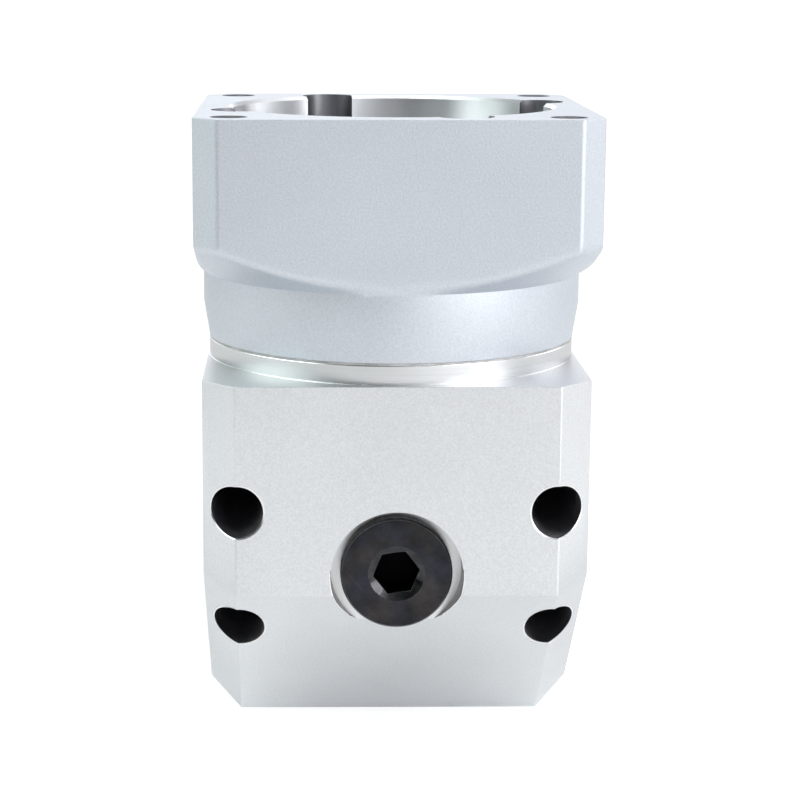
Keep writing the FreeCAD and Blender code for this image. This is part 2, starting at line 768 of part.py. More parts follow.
def clamp_screw():
    """Cap screw across the collar's slit."""
    seat = "clamp_screw_seat"
    head_end = "clamp_screw_seat + clamp_screw_head_height"
    shank = cylinder("clamp_shank", "clamp_screw_diameter", seat + " - clamp_screw_length", seat)
    head = cylinder("clamp_head", "clamp_screw_head", seat, head_end)
    key = socket("clamp_key", "clamp_screw_hex", head_end + " - screw_hex_depth",
                 "screw_hex_depth")
    screw = cut("clamp_screw", fuse("clamp_solid", [shank, head]), key)
    return node(screw, "clamp_screw", SIDE, y="-clamp_screw_offset", z="clamp_screw_height")


def involute(angle):
    return math.tan(angle) - angle


def half_tooth(radius, pitch_radius, thickness, pressure):
    """Half the angle that a tooth fills at a radius; below the base circle it is held."""
    base = pitch_radius * math.cos(pressure)
    at_radius = math.acos(min(base / radius, 1.0))
    return thickness / (2 * pitch_radius) + involute(pressure) - involute(at_radius)


def bevel_gap(module, pitch, depth, thickness, pressure):
    """Corners of one tooth gap, across and along the tooth height, at the large end."""
    back = pitch * math.sqrt(2)
    half_pitch = math.pi / (BEVEL_TEETH * math.sqrt(2))
    corners = []
    for radius in (back - depth, back, back + module):
        half_gap = half_pitch - half_tooth(radius, back, thickness, pressure)
        corners.append((radius * math.sin(half_gap), radius * math.cos(half_gap) - back))
    (near_x, near_y), (tip_x, tip_y) = corners[1:]
    corners.append((2 * tip_x - near_x, 2 * tip_y - near_y))
    return corners


def bevel_wheel(label, turn, first_gap):
    """Straight bevel gear: a turned blank with every gap cut towards the apex."""
    module = value("bevel_module")
    pitch = value("bevel_pitch")
    toe = value("bevel_toe")
    rise = value("bevel_rise")
    sink = value("bevel_sink")
    bore = value("bevel_bore") / 2
    hub = value("hub_diameter") / 2
    seat = value("bevel_seat")
    outline = [(bore, seat), ((pitch - sink) * toe, seat), ((pitch + rise) * toe, (pitch - rise) * toe),
               (pitch + rise, pitch - rise), (hub, value("bevel_back")), (hub, value("bearing_start")),
               (bore, value("bearing_start"))]
    wire = Part.makePolygon([Vector(r, 0, z) for r, z in outline + outline[:1]])
    blank = Part.Face(wire).revolve(Vector(0, 0, 0), Vector(0, 0, 1), 360)
    thickness = math.pi * module / 2 - value("bevel_backlash")
    depth = module * (1 + value("tooth_clearance"))
    pressure = math.radians(value("pressure_angle"))
    corners = bevel_gap(module, pitch, depth, thickness, pressure)
    outline = corners + [(-across, along) for across, along in reversed(corners)]
    lean = math.sqrt(0.5)
    sections = []
    for scale in (toe * toe, 2 - toe):
        ends = [Vector(pitch + along * lean, across, pitch - along * lean) * scale
                for across, along in outline]
        sections.append(Part.makePolygon(ends + ends[:1]))
    gap = Part.makeLoft(sections, True, True)
    step = 360 / BEVEL_TEETH
    gaps = []
    for index in range(BEVEL_TEETH):
        tool = gap.copy()
        tool.rotate(Vector(0, 0, 0), Vector(0, 0, 1), (index + first_gap) * step)
        gaps.append(tool)
    return toothed(label, turn, blank.cut(gaps))


def end_fixing(name, turn):
    """Washer and low cap screw that draw a bevel gear against its bearing."""
    top = "bevel_seat - washer_thickness"
    turned(name + "_washer", turn, ring_outline("screw_diameter", "washer_diameter",
                                                top, "bevel_seat"))
    shank = cylinder(name + "_shank", "screw_diameter", top, f"{top} + end_screw_length")
    head = cylinder(name + "_head", "screw_head_diameter", f"{top} - end_screw_head_height", top)
    key = socket(name + "_key", "screw_hex", f"{top} - end_screw_head_height",
                 "end_screw_hex_depth")
    screw = cut(name + "_screw", fuse(name + "_solid", [shank, head]), key)
    node(screw, name + "_screw", turn)


# Planetary stages

def tooth_wire(teeth, low, high, thickness, first_angle):
    """Closed outline of involute teeth; every flank has two flats between involute points."""
    pitch_radius = value("gear_module") * teeth / 2
    pressure = math.radians(value("pressure_angle"))
    step = 2 * math.pi / teeth

    def flank(middle, side, radius):
        angle = middle + side * half_tooth(radius, pitch_radius, thickness, pressure)
        return Vector(radius * math.cos(angle), radius * math.sin(angle), 0)

    corners = []
    for index in range(teeth):
        middle = first_angle + index * step
        corners += [flank(middle, -1, radius) for radius in (low, pitch_radius, high)]
        corners += [flank(middle, 1, radius) for radius in (high, pitch_radius, low)]
    return Part.makePolygon(corners + corners[:1])


def external_teeth(teeth, start, end, first_angle):
    """Solid toothed bar of an external gear."""
    module = value("gear_module")
    radius = module * teeth / 2
    thickness = math.pi * module / 2 - value("gear_backlash")
    wire = tooth_wire(teeth, radius - module * (1 + value("tooth_clearance")), radius + module,
                      thickness, first_angle)
    wire.translate(Vector(0, 0, start))
    return Part.Face(wire).extrude(Vector(0, 0, end - start))


def bar(diameter, start, end, x=0, y=0):
    """Plain round bar along the axis, for the toothed sub-parts."""
    return Part.makeCylinder(value(diameter) / 2, value(end) - value(start),
                             Vector(x, y, value(start)))


def toothed(label, turn, shape, **offset):
    item = doc.addObject("Part::Feature", label)
    item.Shape = shape
    return node(item, label, turn, **offset)


def ring_gear():
    """Internally toothed ring, broached right through, with tapped holes at both ends."""
    module = value("gear_module")
    radius = module * RING_TEETH / 2
    gap = math.pi * module / 2 + value("gear_backlash")
    start = value("ring_start")
    wire = tooth_wire(RING_TEETH, value("ring_tip") / 2, value("ring_root") / 2, gap,
                      math.pi / RING_TEETH)
    wire.translate(Vector(0, 0, start))
    bore = Part.Face(wire).extrude(Vector(0, 0, value("ring_end - ring_start")))
    outside = value("casing_diameter") / 2
    edge = value("ring_edge")
    end = value("ring_end")
    outline = [(0, start), (outside - edge, start), (outside, start + edge),
               (outside, end - edge), (outside - edge, end), (0, end)]
    wire = Part.makePolygon([Vector(r, 0, z) for r, z in outline + outline[:1]])
    blank = Part.Face(wire).revolve(Vector(0, 0, 0), Vector(0, 0, 1), 360)
    elbow_tap = "elbow_screw_seat + elbow_screw_length + tap_run_out"
    output_tap = "output_face - output_counterbore_depth - output_screw_length - tap_run_out"
    taps = [bar("screw_diameter", "ring_start", elbow_tap, value(x), value(y))
            for x, y in ELBOW_SCREWS]
    taps += [bar("screw_diameter", output_tap, "ring_end", value(x), value(y))
             for x, y in OUTPUT_SCREWS]
    return toothed("ring_gear", OUTPUT, blank.cut([bore] + taps))


def cross_shaft():
    """Shaft of the bevel gear, with the sun gear of the first stage at its other end."""
    thread_end = "bevel_seat + end_screw_length - washer_thickness + tap_run_out"
    sun_start = "stage_start - sun_overlap"
    shaft = bar("bevel_bore", "bevel_seat", "bearing_start")
    shaft = shaft.fuse([bar("bearing_bore", "bearing_start", "bearings_end"),
                        bar("shoulder_diameter", "bearings_end", "boss_top"),
                        bar("sun_neck_diameter", "boss_top", sun_start),
                        external_teeth(SUN_TEETH, value(sun_start),
                                       value("stage_start + planet_width + sun_overlap"), 0)])
    shaft = shaft.cut(bar("screw_diameter", "bevel_seat", thread_end))
    return toothed("cross_shaft", OUTPUT, shaft.removeSplitter())


def second_sun():
    """Sun gear of the second stage, pressed into the first carrier."""
    tooth_start = "stage_start + stage_pitch - sun_overlap"
    tooth_end = "stage_start + stage_pitch + planet_width + sun_overlap"
    disc_end = "carrier_start + carrier_thickness"
    stub = bar("sun_stub_diameter", "carrier_start", disc_end)
    shaft = stub.fuse([bar("sun_neck_diameter", disc_end, tooth_start),
                       external_teeth(SUN_TEETH, value(tooth_start), value(tooth_end), 0)])
    return toothed("second_sun_gear", OUTPUT, shaft.removeSplitter())


PLANET_PINS = on_circle("planet_circle", "0", PLANETS)


def first_carrier():
    """Disc that carries the first stage's planets and the second stage's sun."""
    body = new_body("first_carrier")
    end = "carrier_start + carrier_thickness"
    revolve(body, ring_outline("sun_stub_diameter", "carrier_diameter", "carrier_start", end))
    drill(body, "XY_Plane", end, PLANET_PINS, "pin_diameter")
    return node(body, "first_carrier", OUTPUT)


def output_shaft():
    """Output shaft in one piece with the second carrier."""
    body = new_body("output_shaft")
    journal = "output_bearing_bore / 2"
    shaft = "output_shaft_diameter / 2"
    groove = "output_bearing_bore / 2 - shaft_clip_groove"
    clip_end = "output_bearings_end + shaft_clip_thickness"
    centre = "centre_thread / 2"
    carrier = "carrier_diameter / 2"
    revolve(body, [("0", "output_carrier_start"), (carrier, "output_carrier_start"),
                   (carrier, "output_carrier_end"), ("output_shoulder / 2", "output_carrier_end"),
                   ("output_shoulder / 2", "output_bearing_start"),
                   (journal, "output_bearing_start"), (journal, "output_bearings_end"),
                   (groove, "output_bearings_end"), (groove, clip_end), (journal, clip_end),
                   (journal, "pilot_end"), (shaft, "pilot_end"),
                   (shaft, "shaft_end - output_shaft_chamfer"),
                   (shaft + " - output_shaft_chamfer", "shaft_end"), (centre, "shaft_end"),
                   (centre, "shaft_end - centre_thread_depth"),
                   ("0", "shaft_end - centre_thread_depth")])
    pins = new_sketch(body, "XY_Plane", "output_carrier_end")
    circles(pins, PLANET_PINS, "pin_diameter")
    extrude(body, pins, "carrier_thickness")
    return node(body, "output_shaft", OUTPUT)


def pin_group(label, pieces):
    return node(compound(label, pieces), label, OUTPUT)


def tubes(label, inner, outer, start, end):
    """Short tubes on the planet pins, one group for a stage."""
    pieces = []
    for index, (x, y) in enumerate(PLANET_PINS):
        name = f"{label}_{index}"
        rim = cylinder(name + "_rim", outer, start, end, x, y)
        hole = cylinder(name + "_hole", inner, start, end, x, y)
        pieces.append(cut(name, rim, hole))
    return pin_group(label, pieces)


def planet_stage(stage, start):
    """Planets with their bushes, and the pins, washers and clips that hold them."""
    planet_end = f"{start} + planet_width"
    disc = f"{planet_end} + carrier_gap"
    pin_start = f"{start} - pin_clip_thickness - 2 * pin_end"
    bush_bore = "(pin_diameter + 2 * running_play)"
    bush_rim = "(pin_diameter + 2 * bush_wall)"
    pins = [cylinder(f"stage_{stage}_pin_{index}", "pin_diameter", pin_start,
                     f"{disc} + carrier_thickness", x, y)
            for index, (x, y) in enumerate(PLANET_PINS)]
    pin_group(f"stage_{stage}_pins", pins)
    washer_start = f"{planet_end} + (carrier_gap - thrust_washer_thickness) / 2"
    tubes(f"stage_{stage}_thrust_washers", "pin_diameter", "(pin_diameter + 2 * thrust_washer_wall)",
          washer_start, f"{washer_start} + thrust_washer_thickness")
    clip_start = f"{start} - pin_clip_thickness - pin_end / 2"
    tubes(f"stage_{stage}_pin_clips", "pin_diameter", "(pin_diameter + 2 * pin_clip_wall)",
          clip_start, f"{clip_start} + pin_clip_thickness")
    gear = external_teeth(PLANET_TEETH, value(start), value(planet_end), math.pi / PLANET_TEETH)
    gear = gear.cut(bar(bush_rim, start, planet_end))
    for index, letter in enumerate(PLANET_LETTERS):
        turn = OUTPUT.multiply(Rotation(Vector(0, 0, 1), 360 * index / PLANETS))
        x, y = PLANET_PINS[index]
        toothed(f"planet_{stage}{letter}", turn, gear, x=x, z=f"-({y})")
        rim = cylinder(f"bush_{stage}{letter}_rim", bush_rim, start, planet_end, x, y)
        hole = cylinder(f"bush_{stage}{letter}_hole", bush_bore, start, planet_end, x, y)
        label = f"planet_{stage}{letter}_bush"
        node(cut(label, rim, hole), label, OUTPUT)


# Assembly

elbow_housing()
input_flange()
gasket("input_gasket", INPUT, "seal_diameter", "boss_diameter", "boss_top", FLANGE_SCREWS)
cap_screws("flange_screws", INPUT, FLANGE_SCREWS, "flange_seat", "flange_screw_length",
           forward=False)
screw_plug()
turned("plug_seal", FRONT, ring_outline("plug_thread", "plug_seal_diameter",
                                        "spotface_floor", "collar_foot"))
access_plug()
ring_gear()
gasket("ring_gasket", OUTPUT, "ring_root",
       "boss_diameter", "boss_top", ELBOW_SCREWS)
cap_screws("elbow_screws", OUTPUT, ELBOW_SCREWS, "elbow_screw_seat", "elbow_screw_length",
           forward=True)
output_housing()
gasket("output_gasket", OUTPUT, "ring_root",
       "boss_diameter", "ring_end", OUTPUT_SCREWS)
cap_screws("output_screws", OUTPUT, OUTPUT_SCREWS, "(output_face - output_counterbore_depth)",
           "output_screw_length", forward=False)

SHAFT_BEARINGS = ["bearing_start", "bearing_start + bearing_width"]
for axis_name, axis_turn in (("input", INPUT), ("cross", OUTPUT)):
    bearing_pair(axis_name + "_bearing", axis_turn, SHAFT_BEARINGS, "bearing_bore",
                 "bearing_outside", "bearing_width", "race_wall")
    open_clip(axis_name + "_bearing_clip", axis_turn,
              "bearing_outside + 2 * clip_groove - 2 * clip_width",
              "bearing_outside + 2 * clip_groove", "bearings_end", "clip_thickness",
              "bearing_outside")
    end_fixing("pinion" if axis_name == "input" else "gear", axis_turn)
bearing_pair("output_bearing", OUTPUT, ["output_bearing_start", "second_bearing"],
             "output_bearing_bore", "output_bearing_outside", "output_bearing_width",
             "output_race_wall")
turned("output_spacer", OUTPUT,
       ring_outline("output_bearing_outside - 2 * spacer_wall", "output_bearing_outside",
                    "output_bearing_start + output_bearing_width", "second_bearing"))
open_clip("output_bearing_clip", OUTPUT,
          "output_bearing_outside + 2 * clip_groove - 2 * clip_width",
          "output_bearing_outside + 2 * clip_groove", "output_bearings_end",
          "output_clip_thickness", "output_bearing_outside")
open_clip("output_shaft_clip", OUTPUT, "output_bearing_bore - 2 * shaft_clip_groove",
          "output_bearing_bore - 2 * shaft_clip_groove + 2 * shaft_clip_width",
          "output_bearings_end", "shaft_clip_thickness", "output_bearing_outside")
oil_seal("input_oil_seal", INPUT, "shoulder_diameter", "seal_diameter",
         "flange_bottom", "seal_width")
oil_seal("output_oil_seal", OUTPUT, "output_bearing_bore", "output_bearing_outside",
         "(pilot_end - output_seal_width)", "output_seal_width")

input_shaft()
clamp_collar()
clamp_screw()
bevel_wheel("bevel_pinion", INPUT, 0)
bevel_wheel("bevel_gear", OUTPUT, 0.5)
cross_shaft()
first_carrier()
second_sun()
output_shaft()
planet_stage(1, "stage_start")
planet_stage(2, "(stage_start + stage_pitch)")
doc.recompute()

# Checks, then one file for each sub-part
for thing in doc.Objects:
    if "Invalid" in thing.State or "Error" in thing.State:
        raise RuntimeError(f"{thing.Name} failed: {thing.State}")
for thing in nodes:
    if thing.Shape.isNull() or not thing.Shape.isValid() or not thing.Shape.Solids:
        raise RuntimeError(f"{thing.Label} has no valid solid")
os.makedirs("parts", exist_ok=True)
for thing in nodes:
    thing.Shape.exportStep(os.path.join("parts", thing.Label + ".step"))
print(len(nodes), "sub-parts")
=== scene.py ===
import json
import math

import bmesh
import bpy
from mathutils import Matrix, Vector

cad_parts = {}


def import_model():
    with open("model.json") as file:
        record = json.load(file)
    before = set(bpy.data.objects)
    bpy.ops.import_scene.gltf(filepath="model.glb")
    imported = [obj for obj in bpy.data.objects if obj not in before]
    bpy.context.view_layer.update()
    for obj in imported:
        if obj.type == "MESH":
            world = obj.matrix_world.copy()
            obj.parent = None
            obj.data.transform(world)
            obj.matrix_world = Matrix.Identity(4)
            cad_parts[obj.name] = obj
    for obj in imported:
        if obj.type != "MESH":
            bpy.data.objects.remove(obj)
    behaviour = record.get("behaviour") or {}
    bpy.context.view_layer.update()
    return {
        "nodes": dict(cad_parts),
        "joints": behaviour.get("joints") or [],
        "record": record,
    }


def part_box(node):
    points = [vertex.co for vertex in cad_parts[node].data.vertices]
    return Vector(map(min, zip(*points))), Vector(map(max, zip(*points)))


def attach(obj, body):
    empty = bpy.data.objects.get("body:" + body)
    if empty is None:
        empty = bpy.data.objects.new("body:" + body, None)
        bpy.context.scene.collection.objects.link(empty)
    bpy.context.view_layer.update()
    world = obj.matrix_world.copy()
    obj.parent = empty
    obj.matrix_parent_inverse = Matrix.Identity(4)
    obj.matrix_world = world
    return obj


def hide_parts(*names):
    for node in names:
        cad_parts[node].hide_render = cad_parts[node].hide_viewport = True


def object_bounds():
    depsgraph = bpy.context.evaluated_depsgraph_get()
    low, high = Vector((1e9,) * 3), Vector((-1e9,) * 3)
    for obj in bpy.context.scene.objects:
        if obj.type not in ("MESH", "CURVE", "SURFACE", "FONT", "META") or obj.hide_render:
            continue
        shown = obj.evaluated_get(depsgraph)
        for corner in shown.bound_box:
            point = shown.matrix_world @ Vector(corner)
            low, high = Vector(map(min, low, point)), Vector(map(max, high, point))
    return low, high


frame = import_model()

# Looks of a right-angle planetary gearbox.
# Meshes are drawn in millimetres from the crossing of the two axes and moved to the frame at the end.

MM = 0.001
CROSSING = Vector(next(j["pos_m"] for j in frame["joints"] if j["name"] == "input_turn"))
CROSSING.z = 0.0

# Axes by their number
X, Y, Z = range(3)


def span(node):
    """Lowest and highest corner of a CAD node in millimetres from the crossing."""
    low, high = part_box(node)
    return (low - CROSSING) / MM, (high - CROSSING) / MM


# Sizes in millimetres: those of whole pieces come from the frame

elbow_low, elbow_high = span("elbow_housing")
flange_low, flange_high = span("input_flange")
housing_low, housing_high = span("output_housing")
shaft_low, shaft_high = span("output_shaft")
collar_low, collar_high = span("clamp_collar")
screws_low, screws_high = span("flange_screws")
races_low, races_high = span("output_bearing_outer_rings")
clip_low, clip_high = span("output_bearing_clip")
shaft_clip_low, shaft_clip_high = span("output_shaft_clip")
seal_low, seal_high = span("output_oil_seal")
gasket_high = span("input_gasket")[1]
pins_high = span("stage_2_pins")[1]

# Elbow block
BLOCK_HALF = elbow_high.x
BLOCK_REACH = -elbow_low.z
BLOCK_CHAMFER = 5.0
SLANT = 3.0
BOSS_TOP = elbow_high.z
BOSS_RADIUS = gasket_high.x
BOSS_HEIGHT = 2.9
SEAT = BOSS_TOP - BOSS_HEIGHT
BEARING_RADIUS = 16.0
BEARING_START = 16.2
CHAMBER_RADIUS = 15.3
CHAMBER_END = 5.0
SPOTFACE_RADIUS = 9.9
SPOTFACE_DEPTH = 5.0
SPOTFACE_FLOOR = BLOCK_REACH - SPOTFACE_DEPTH

# Broken edges
EDGE = 0.25
FINE_EDGE = 0.12
SOFT_EDGE = 0.45
FLANGE_TOP_EDGE = 0.15
BOSS_EDGE = 0.15
BOSS_FILLET = 0.1
RIM_EDGE = 0.3
SPOTFACE_EDGE = 0.17
SPOTFACE_EDGE_TOP = 1.5
SPOTFACE_EDGE_BACK = SPOTFACE_FLOOR + 3 * SPOTFACE_EDGE

# Screw plug
PLUG_RADIUS = 8.4
PLUG_THREAD = 6.0
PLUG_LENGTH = 10.0
PLUG_LEAD = 0.5
PLUG_SEAL = 1.0
PLUG_COLLAR = 2.2
PLUG_EDGE = 0.25
PLUG_HEX = 6.0
PLUG_HEX_DEPTH = 5.0
PLUG_SINK = 4.25
PLUG_SINK_SLOPE = math.tan(math.radians(30))
PLUG_TURN = 8.0

# Cap screws; the sink is a share of the hexagon's width, and the twist is in radians
SCREW_RADIUS = 2.0
SCREW_LEAD = 0.3
SCREW_HOLE = 2.2
SCREW_HEAD = 3.5
SCREW_HEAD_HEIGHT = 4.0
SCREW_HEAD_EDGE = 0.35
SCREW_HEX = 3.0
SCREW_HEX_DEPTH = 2.2
SCREW_SINK = 1.25
SCREW_TWIST = 0.7
KNURL = 0.1
KNURL_STEPS = 72
SCREW_ANGLE = 22.5
ELBOW_SCREW_CIRCLE = 25.75
ELBOW_SCREW_SEAT = 20.0
ELBOW_SCREW_LENGTH = 25.0
ELBOW_COUNTERBORE = 3.85
FLANGE_SCREW_CIRCLE = (screws_high.x - SCREW_HEAD) / math.cos(math.radians(SCREW_ANGLE))
FLANGE_SCREW_SEAT = screws_high.z - SCREW_HEAD_HEIGHT
FLANGE_SCREW_LENGTH = 20.0
FLANGE_COUNTERBORE = 4.15
TAP_RUN_OUT = 2.3
FLANGE_TAP_END = screws_low.z - TAP_RUN_OUT
OUTPUT_SCREW_CIRCLE = 25.2
OUTPUT_SCREW_LENGTH = 35.0
OUTPUT_COUNTERBORE = 3.7
OUTPUT_SINK = 4.4

# Tapped holes
THREAD_RADIUS = 2.5
THREAD_DEPTH = 0.4
THREAD_PITCH = 0.8

# Output housing
OUTPUT_FACE = -CROSSING.y / MM
OUTPUT_RADIUS = housing_high.x
OUTPUT_EDGE = 1.0
OUTPUT_PILOT = 20.0
OUTPUT_BORE = races_high.x
OUTPUT_GROOVE = 0.8
OUTPUT_LIP = 1.8
OUTPUT_LIP_HEIGHT = 1.3
OUTPUT_BOLT_CIRCLE = 25.0
OUTPUT_BOLT_ANGLE = 45.0
OUTPUT_BOLT_DEPTH = 10.0

# Output shaft and its seal
CARRIER_RADIUS = shaft_high.x
CARRIER_THICKNESS = 4.5
CARRIER_ROOM = 1.2
CARRIER_EDGE = 0.3
CARRIER_PINS = 3
PIN_RADIUS = 2.5
SHOULDER_RADIUS = 10.5
JOURNAL_RADIUS = 8.5
JOURNAL_GROOVE = 0.6
SHAFT_RADIUS = 7.0
SHAFT_CHAMFER = 0.8
CENTRE_DEPTH = 12.0
SEAL_LIP = 0.05
SEAL_WEB = 1.2
SEAL_EDGE = 0.3

# Motor flange; the cone is the turned back of its square
FLANGE_HALF = flange_high.x
FLANGE_TOP = flange_high.z
FLANGE_FOOT = flange_low.z
FLANGE_CORNER = 3.6
FLANGE_FLOOR = 7.2
PILOT_RADIUS = 25.0
PILOT_DEPTH = 5.0
PILOT_LEAD = 0.5
CAVITY_RADIUS = 22.8
SKIRT_FOOT = 28.8
SKIRT_RADIUS = 29.65
SKIRT_TAPER = 5.4
SKIRT_HEIGHT = 10.3
CONE_SLOPE = math.tan(math.radians(30))
CONE_EDGE = 1.2
CONE_SHARE = 0.7
CONE_FADE = 1.2
CONE_BLEND = 4
CONE_STEPS = 6
CONE_ROOT = 0.4
SEAL_RADIUS = 17.0
SEAL_BORE = 4.9
PASSAGE_RADIUS = 12.65
MOTOR_BOLT = 24.75
MOTOR_BOLT_DEPTH = 14.0
ACCESS_RADIUS = 4.5
ACCESS_HEAD = 6.0
ACCESS_HEAD_HEIGHT = 1.2
CLAMP_OFFSET = 15.6
CLAMP_HEIGHT = (collar_low.z + collar_high.z) / 2

# Steps round a circle, cutter overrun, closeness of points, and angles in degrees
FINE = 192
ROUND = 96
MEDIUM = 64
SMALL = 40
OVERRUN = 1.0
TINY = 1e-5
TIGHT = 0.005
WELD = 0.02
RIM_ANGLE = 30.0
SMOOTH_ANGLE = 25.0
BREAK_ANGLE = 40.0


# Mesh tools

def even(segments):
    """Angles of equal steps round a circle."""
    return [2 * math.pi * step / segments for step in range(segments)]


def lathe(outline, segments=ROUND, turns=None):
    """Solid about Z from a closed outline of (radius, height) corners; one may be a function of the angle."""
    turns = turns or even(segments)
    mesh = bmesh.new()
    rings = []
    for corner in outline:
        spots = [corner(turn) if callable(corner) else corner for turn in turns]
        if spots[0][0] < TINY:
            rings.append([mesh.verts.new((0, 0, spots[0][1]))] * len(turns))
            continue
        rings.append([mesh.verts.new((radius * math.cos(turn), radius * math.sin(turn), height))
                      for turn, (radius, height) in zip(turns, spots)])
    for ring, following in zip(rings, rings[1:] + rings[:1]):
        for step in range(len(turns)):
            after = (step + 1) % len(turns)
            corners = [ring[step], ring[after], following[after], following[step]]
            corners = list(dict.fromkeys(corners))
            if len(corners) > 2:
                mesh.faces.new(corners)
    bmesh.ops.recalc_face_normals(mesh, faces=mesh.faces)
    return mesh


def prism(outline, start, end):
    """Solid from an outline in X and Y between two heights."""
    mesh = bmesh.new()
    floor = [mesh.verts.new((x, y, start)) for x, y in outline]
    roof = [mesh.verts.new((x, y, end)) for x, y in outline]
    mesh.faces.new(floor)
    mesh.faces.new(roof)
    for index in range(len(outline)):
        after = (index + 1) % len(outline)
        mesh.faces.new([floor[index], floor[after], roof[after], roof[index]])
    bmesh.ops.recalc_face_normals(mesh, faces=mesh.faces)
    return mesh


def hexagon(flats, turn=0.0):
    """Corners of a hexagon with that width across flats."""
    radius = flats / math.sqrt(3)
    angles = [math.radians(turn + 60 * corner) for corner in range(6)]
    return [(radius * math.cos(a), radius * math.sin(a)) for a in angles]


def pin(radius, start, end, segments=SMALL):
    """Plain round bar between two heights."""
    return lathe([(0, start), (radius, start), (radius, end), (0, end)], segments)


def thread(radius, start, end):
    """Bar with thread ridges and a countersink at its upper end, to cut a tapped hole."""
    core, mouth = radius - THREAD_DEPTH, radius + EDGE
    outline = [(0, start), (core, start)]
    height = start + THREAD_PITCH
    while height < end - THREAD_PITCH:
        outline += [(radius, height - THREAD_PITCH / 2), (core, height)]
        height += THREAD_PITCH
    outline += [(core, end - 2 * EDGE), (mouth, end), (mouth, end + OVERRUN), (0, end + OVERRUN)]
    return lathe(outline, SMALL)


ALONG_INPUT = Matrix.Identity(4)
ALONG_OUTPUT = Matrix.Rotation(math.radians(-90), 4, "X")
TO_FRONT = Matrix.Rotation(math.radians(90), 4, "X")
TO_SIDE = Matrix.Rotation(math.radians(90), 4, "Y")
FROM_SIDE = Matrix(((0, 0, 1, 0), (1, 0, 0, 0), (0, 1, 0, 0), (0, 0, 0, 1)))


def placed(mesh, turn=ALONG_INPUT, x=0.0, y=0.0, z=0.0):
    """Turn a mesh and then move it."""
    bmesh.ops.transform(mesh, matrix=Matrix.Translation((x, y, z)) @ turn, verts=mesh.verts)
    return mesh


def new_object(name, data):
    """Object that is linked to the scene."""
    thing = bpy.data.objects.new(name, data)
    bpy.context.scene.collection.objects.link(thing)
    return thing


def holder(mesh, name):
    """Object with a mesh, which is used up."""
    data = bpy.data.meshes.new(name)
    mesh.to_mesh(data)
    mesh.free()
    return new_object(name, data)


def combine(base, tool, operation="DIFFERENCE"):
    """Boolean of two meshes; both are used up."""
    first = holder(base, "base")
    second = holder(tool, "tool")
    change = first.modifiers.new("change", "BOOLEAN")
    change.operation = operation
    change.object = second
    change.solver = "EXACT"
    graph = bpy.context.evaluated_depsgraph_get()
    data = bpy.data.meshes.new_from_object(first.evaluated_get(graph))
    result = bmesh.new()
    result.from_mesh(data)
    for thing in (first, second):
        old = thing.data
        bpy.data.objects.remove(thing)
        bpy.data.meshes.remove(old)
    bpy.data.meshes.remove(data)
    bmesh.ops.remove_doubles(result, verts=result.verts, dist=TINY)
    return result


def carve(base, *tools):
    """Cut tools out of a mesh, one after the other."""
    for tool in tools:
        base = combine(base, tool)
    return base


def counterbored(base, radius, start, seat, face, turn=ALONG_INPUT, **spot):
    """Cut a screw's hole, with a counterbore from its seat to past the face."""
    return carve(base, placed(pin(radius, seat, face + OVERRUN, MEDIUM), turn, **spot),
                 placed(pin(SCREW_HOLE, start - OVERRUN, seat + OVERRUN), turn, **spot))


def join(meshes):
    """Several separate meshes as one."""
    whole = bmesh.new()
    for mesh in meshes:
        data = bpy.data.meshes.new("join")
        mesh.to_mesh(data)
        mesh.free()
        whole.from_mesh(data)
        bpy.data.meshes.remove(data)
    return whole


def middle(edge):
    """Point half way along an edge."""
    return edge.verts[0].co.lerp(edge.verts[1].co, 0.5)


def is_outer(edge, sharp):
    """Whether an edge is an outer one that turns by more than an angle in degrees."""
    return edge.is_manifold and edge.is_convex and edge.calc_face_angle() > math.radians(sharp)


def break_edges(mesh, edges, width):
    """Bevel of some of a mesh's edges."""
    bmesh.ops.bevel(mesh, geom=edges, offset=width, segments=2, affect="EDGES", profile=0.5)


def weigh_edges(mesh, widths, sharp):
    """Give every outer edge its own break, as a share of the widest, from its middle and its ends."""
    layer = mesh.edges.layers.float.new("bevel_weight_edge")
    for edge in mesh.edges:
        if is_outer(edge, sharp):
            edge[layer] = widths(middle(edge), [corner.co for corner in edge.verts])
    widest = max(edge[layer] for edge in mesh.edges)
    for edge in mesh.edges:
        edge[layer] /= widest
    return widest


def soften(thing, width, method):
    """Bevel of an object's edges, with a width in millimetres."""
    bevel = thing.modifiers.new("edges", "BEVEL")
    bevel.width = width * MM
    bevel.segments = 2
    bevel.limit_method = method
    bevel.harden_normals = True
    return bevel


def piece(mesh, name, body, nodes, materials, sort=None, widths=None, sharp=30):
    """Finish a mesh as a named piece that stands for CAD nodes; sort picks a face's material."""
    bmesh.ops.remove_doubles(mesh, verts=mesh.verts, dist=WELD)
    for face in mesh.faces:
        face.smooth = True
        if sort:
            face.material_index = materials.index(sort([corner.co for corner in face.verts]))
    for edge in mesh.edges:
        turn = edge.calc_face_angle(math.pi) if edge.is_manifold else math.pi
        alike = len({face.material_index for face in edge.link_faces}) == 1
        edge.smooth = alike and turn < math.radians(sharp)
    widest = weigh_edges(mesh, widths, sharp) if widths else 0.0
    bmesh.ops.scale(mesh, vec=(MM, MM, MM), verts=mesh.verts)
    bmesh.ops.translate(mesh, vec=CROSSING, verts=mesh.verts)
    thing = holder(mesh, name)
    for material in materials:
        thing.data.materials.append(material)
    if widest:
        soften(thing, widest, "WEIGHT").use_clamp_overlap = False
    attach(thing, body)
    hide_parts(*nodes)


# Shader tools

